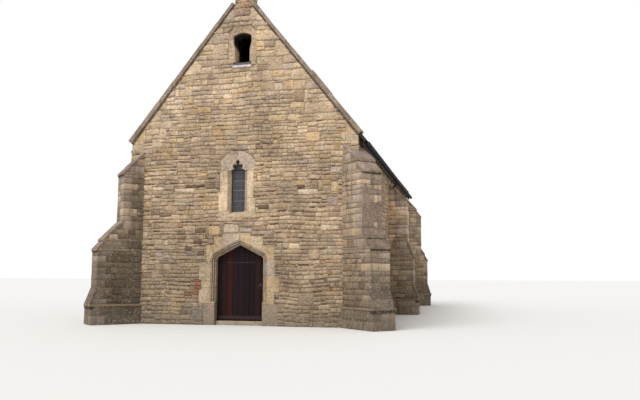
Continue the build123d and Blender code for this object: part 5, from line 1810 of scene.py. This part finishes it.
class CHAPEL_OT_roof(bpy.types.Operator):
    """Slate the roof, cap its ridge and finish its timbers"""

    bl_idname = "chapel.roof"
    bl_label = "Roof"

    def execute(self, context):
        roof = settings("roof")
        low_y, high_y = COPING_BACK_Y, -COPING_BACK_Y
        run = EAVE_X / math.cos(PITCH)
        slate = stone_material("Stone slate")
        stock = stone_stock()
        for side, name in ((-1, "left"), (1, "right")):
            rng = random.Random(SEEDS["slates"] + side)
            places = lay_slates(rng, side, run)
            if side > 0:
                places += lay_eave_end(rng, run)
            piece = lay("roof_slates_" + name, places, stock)
            cut(piece, *plane("X", side * 0.002, -side))
            finish_piece(piece, "chapel", slate, "stone_slate", "roof_covering_" + name)
            boards = add_block("roof_boarding_" + name, (0.0, low_y, 0.0), (run, high_y, BOARDING))
            boards.data.transform(roof_frame(side))
            cut(boards, *plane("X", 0, -side))
            finish_piece(boards, "chapel", oak_material("Oak along"), "roof_oak")
        clear_stock(stock)
        # The eave's end board is darkened as painted shade under the eave
        eave_board = add_block("eave_end_board", (RAKE, FRONT_Y, 0.0), (run, low_y, BOARDING), 0.003)
        eave_board.data.transform(roof_frame(1))
        finish_piece(eave_board, "chapel", oak_material("Dark oak"), "roof_oak")
        source = solid_copy("ridge")
        tiles = []
        rng = random.Random(SEEDS["ridge"])
        count = round((high_y - low_y) / roof.ridge_stone)
        step = (high_y - low_y) / count
        for n in range(count):
            a = low_y + step * n
            colour = mixed(roof.slate_grey, roof.slate_brown, rng.random(), rng.uniform(0.95, 1.3))
            ends = [plane("Y", a + 0.003, -1), plane("Y", a + step - 0.003, 1)]
            tiles.append(carve(source, "tile", ends, colour, 0.006))
        remove([source])
        dress("ridge_stones", tiles, "ridge", finish="Stone slate", slot="stone_slate")
        assign(oak_material("Oak along"), "wall_plates", "collar_purlin")
        # The fascias are darkened as painted shade under the eaves
        assign(oak_material("Dark oak"), "fascias")
        assign(oak_material("Oak across"), "tie_beams", "collars", "doorway_lintel")
        assign(oak_material("Oak upright"), "crown_posts", "rafters_left", "rafters_right")
        return {"FINISHED"}


class CHAPEL_OT_rainwater(bpy.types.Operator):
    """Finish the gutters and pipes"""

    bl_idname = "chapel.rainwater"
    bl_label = "Rainwater goods"

    def execute(self, context):
        iron = iron_material("Rainwater iron", paint("121010"), 0.8)
        assign(iron, "gutters", "gutter_brackets", "downpipes")
        return {"FINISHED"}


class CHAPEL_OT_door(bpy.types.Operator):
    """Board the door and finish its iron"""

    bl_idname = "chapel.door"
    bl_label = "Door"

    def execute(self, context):
        door = settings("door")
        rng = random.Random(SEEDS["planks"])
        low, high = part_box("door_leaf")
        count = round((high.x - low.x) / door.plank)
        step = (high.x - low.x) / count
        gap = door.groove / 2
        apex_z = DOOR_APEX_Z + LEAF_LAP / math.cos(DOOR_LEG)
        (haunch_x, haunch_z), (lean_x, lean_z) = LEAF_HAUNCH
        boards = []
        for n in range(count):
            a = low.x + step * n
            plank = add_block("plank", (a + gap, low.y, low.z), (a + step - gap, high.y, high.z + 0.1))
            for side in (-1, 1):
                cut(plank, (0, 0, apex_z), (side * math.sin(DOOR_LEG), 0, math.cos(DOOR_LEG)))
                cut(plank, (side * haunch_x, 0, haunch_z), (side * lean_x, 0, lean_z))
            soften(plank, 0.004)
            warmth = 1.0 if n == RUST_PLANK else 0.3 if n in WARM_PLANKS else 0.0
            tint(plank, mixed(door.plum, door.rust, warmth, rng.uniform(0.75, 1.25)))
            boards.append(plank)
        backing = add_block("backing", (low.x + 0.02, low.y + 0.02, low.z + 0.01),
                            (high.x - 0.02, high.y - 0.006, BACKING_TOP_Z))
        tint(backing, shade(door.plum, 0.4))
        boards.append(backing)
        for (half, foot, top), proud, bevel, share in (
            (RAIL, 0.006, 0.003, 0.3), (WEATHERBOARD, 0.012, 0.005, 0.2)
        ):
            board = add_block("board", (-half, low.y - proud, foot), (half, low.y + 0.002, top), bevel)
            tint(board, mixed(door.plum, door.worn, share))
            boards.append(board)
        finish_piece(join("door_planks", boards), "door", board_material(), "door_oak", "door_leaf")
        assign(oak_material("Oak across"), "door_ledges")
        assign(iron_material("Wrought iron", door.iron, 0.5), "door_straps", "door_handle", "door_pintles")
        return {"FINISHED"}


class CHAPEL_OT_floor(bpy.types.Operator):
    """Pave the nave"""

    bl_idname = "chapel.floor"
    bl_label = "Floor"

    def execute(self, context):
        stone = settings("stone")
        rng = random.Random(SEEDS["flags"])
        low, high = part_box("floor")
        stock = stone_stock()
        places = []
        for y, depth in uneven(low.y, high.y, lambda y: rng.uniform(*FLAG_DEPTHS), 0.3):
            for x, width in uneven(low.x, high.x, lambda x: rng.uniform(*FLAG_WIDTHS), 0.3):
                colour = mixed(stone.grey, stone.buff, rng.random(), rng.uniform(0.7, 0.95))
                places.append(block_place(
                    Matrix.Identity(4), (x + 0.004, y + 0.004, high.z - 0.05),
                    (x + width - 0.004, y + depth - 0.004, high.z - rng.uniform(0, 0.002)), colour))
        dress("nave_flagstones", [lay("nave_flagstones", places, stock)], "floor", slot="flagstone")
        clear_stock(stock)
        bed = add_block("floor_bed", low, (high.x, high.y, high.z - 0.012))
        finish_piece(bed, "chapel", mortar_material(), "flagstone")
        return {"FINISHED"}


class CHAPEL_OT_stage(bpy.types.Operator):
    """Set the floor, the light and the camera"""

    bl_idname = "chapel.stage"
    bl_label = "Stage"

    def execute(self, context):
        stage = settings("stage")
        scene = context.scene
        scene.view_settings.view_transform = "Standard"
        bpy.ops.object.select_all(action="DESELECT")
        bpy.ops.mesh.primitive_plane_add(size=400, location=(0, 0, -0.001))
        ground = bpy.context.object
        ground.name = "ground"
        material, tree, shader = new_material("Plain floor")
        plug(tree, shader, {"Roughness": 0.9, "Base Color": tuple(stage.floor)})
        ground.data.materials.append(material)
        world = bpy.data.worlds.new("Even light")
        world.use_nodes = True
        scene.world = world
        tree = world.node_tree
        rays = add_node(tree, "ShaderNodeLightPath").outputs
        seen = math_node(tree, "MAXIMUM", rays["Is Camera Ray"], rays["Is Glossy Ray"])
        seen = math_node(tree, "MAXIMUM", seen, rays["Is Transmission Ray"])
        plug(tree, tree.nodes["Background"], {
            "Strength": between(tree, seen, 0.0, 1.0, stage.sky, 1.0), "Color": (1.0, 1.0, 1.0, 1.0)})
        bpy.ops.object.light_add(type="SUN", location=(-10, -20, 20), rotation=SUN_TURN)
        sun = bpy.context.object
        sun.data.energy = stage.sun
        sun.data.angle = SUN_SPREAD
        look = (Matrix.Rotation(CAMERA_YAW, 4, "Z") @ Matrix.Rotation(math.pi / 2 + CAMERA_PITCH, 4, "X")
                @ Matrix.Rotation(CAMERA_ROLL, 4, "Z"))
        bpy.ops.object.camera_add(location=CAMERA_PLACE, rotation=look.to_euler())
        camera = bpy.context.object
        camera.data.sensor_width = SENSOR_WIDTH
        camera.data.lens = CAMERA_FOCUS / PICTURE_WIDTH * SENSOR_WIDTH
        camera.data.clip_end = 500.0
        scene.camera = camera
        return {"FINISHED"}


class CHAPEL_PT_panel(bpy.types.Panel):
    """The chapel's steps and settings"""

    bl_idname = "CHAPEL_PT_panel"
    bl_label = "Small chapel"
    bl_space_type = "VIEW_3D"
    bl_region_type = "UI"
    bl_category = "Chapel"

    def draw(self, context):
        for name, group in GROUPS:
            column = self.layout.box().column()
            for key in group.bl_rna.properties.keys():
                if key not in ("rna_type", "name"):
                    column.prop(getattr(context.scene, "chapel_" + name), key)
        for operator in OPERATORS:
            self.layout.operator(operator.bl_idname)


GROUPS = (
    ("stone", ChapelStoneSettings),
    ("roof", ChapelRoofSettings),
    ("door", ChapelDoorSettings),
    ("stage", ChapelStageSettings),
)
OPERATORS = (
    CHAPEL_OT_rubble,
    CHAPEL_OT_buttresses,
    CHAPEL_OT_copings,
    CHAPEL_OT_doorway,
    CHAPEL_OT_windows,
    CHAPEL_OT_bell_opening,
    CHAPEL_OT_roof,
    CHAPEL_OT_rainwater,
    CHAPEL_OT_door,
    CHAPEL_OT_floor,
    CHAPEL_OT_stage,
)


def register():
    """Register the settings, the operators and the panel."""
    for name, group in GROUPS:
        bpy.utils.register_class(group)
        setattr(bpy.types.Scene, "chapel_" + name, bpy.props.PointerProperty(type=group))
    for operator in OPERATORS:
        bpy.utils.register_class(operator)
    bpy.utils.register_class(CHAPEL_PT_panel)


def unregister():
    """Take them away again."""
    bpy.utils.unregister_class(CHAPEL_PT_panel)
    for operator in reversed(OPERATORS):
        bpy.utils.unregister_class(operator)
    for name, group in reversed(GROUPS):
        delattr(bpy.types.Scene, "chapel_" + name)
        bpy.utils.unregister_class(group)


def main():
    """Build every piece in order."""
    register()
    for operator in OPERATORS:
        family, step = operator.bl_idname.split(".")
        getattr(getattr(bpy.ops, family), step)()


if __name__ == "__main__":
    main()
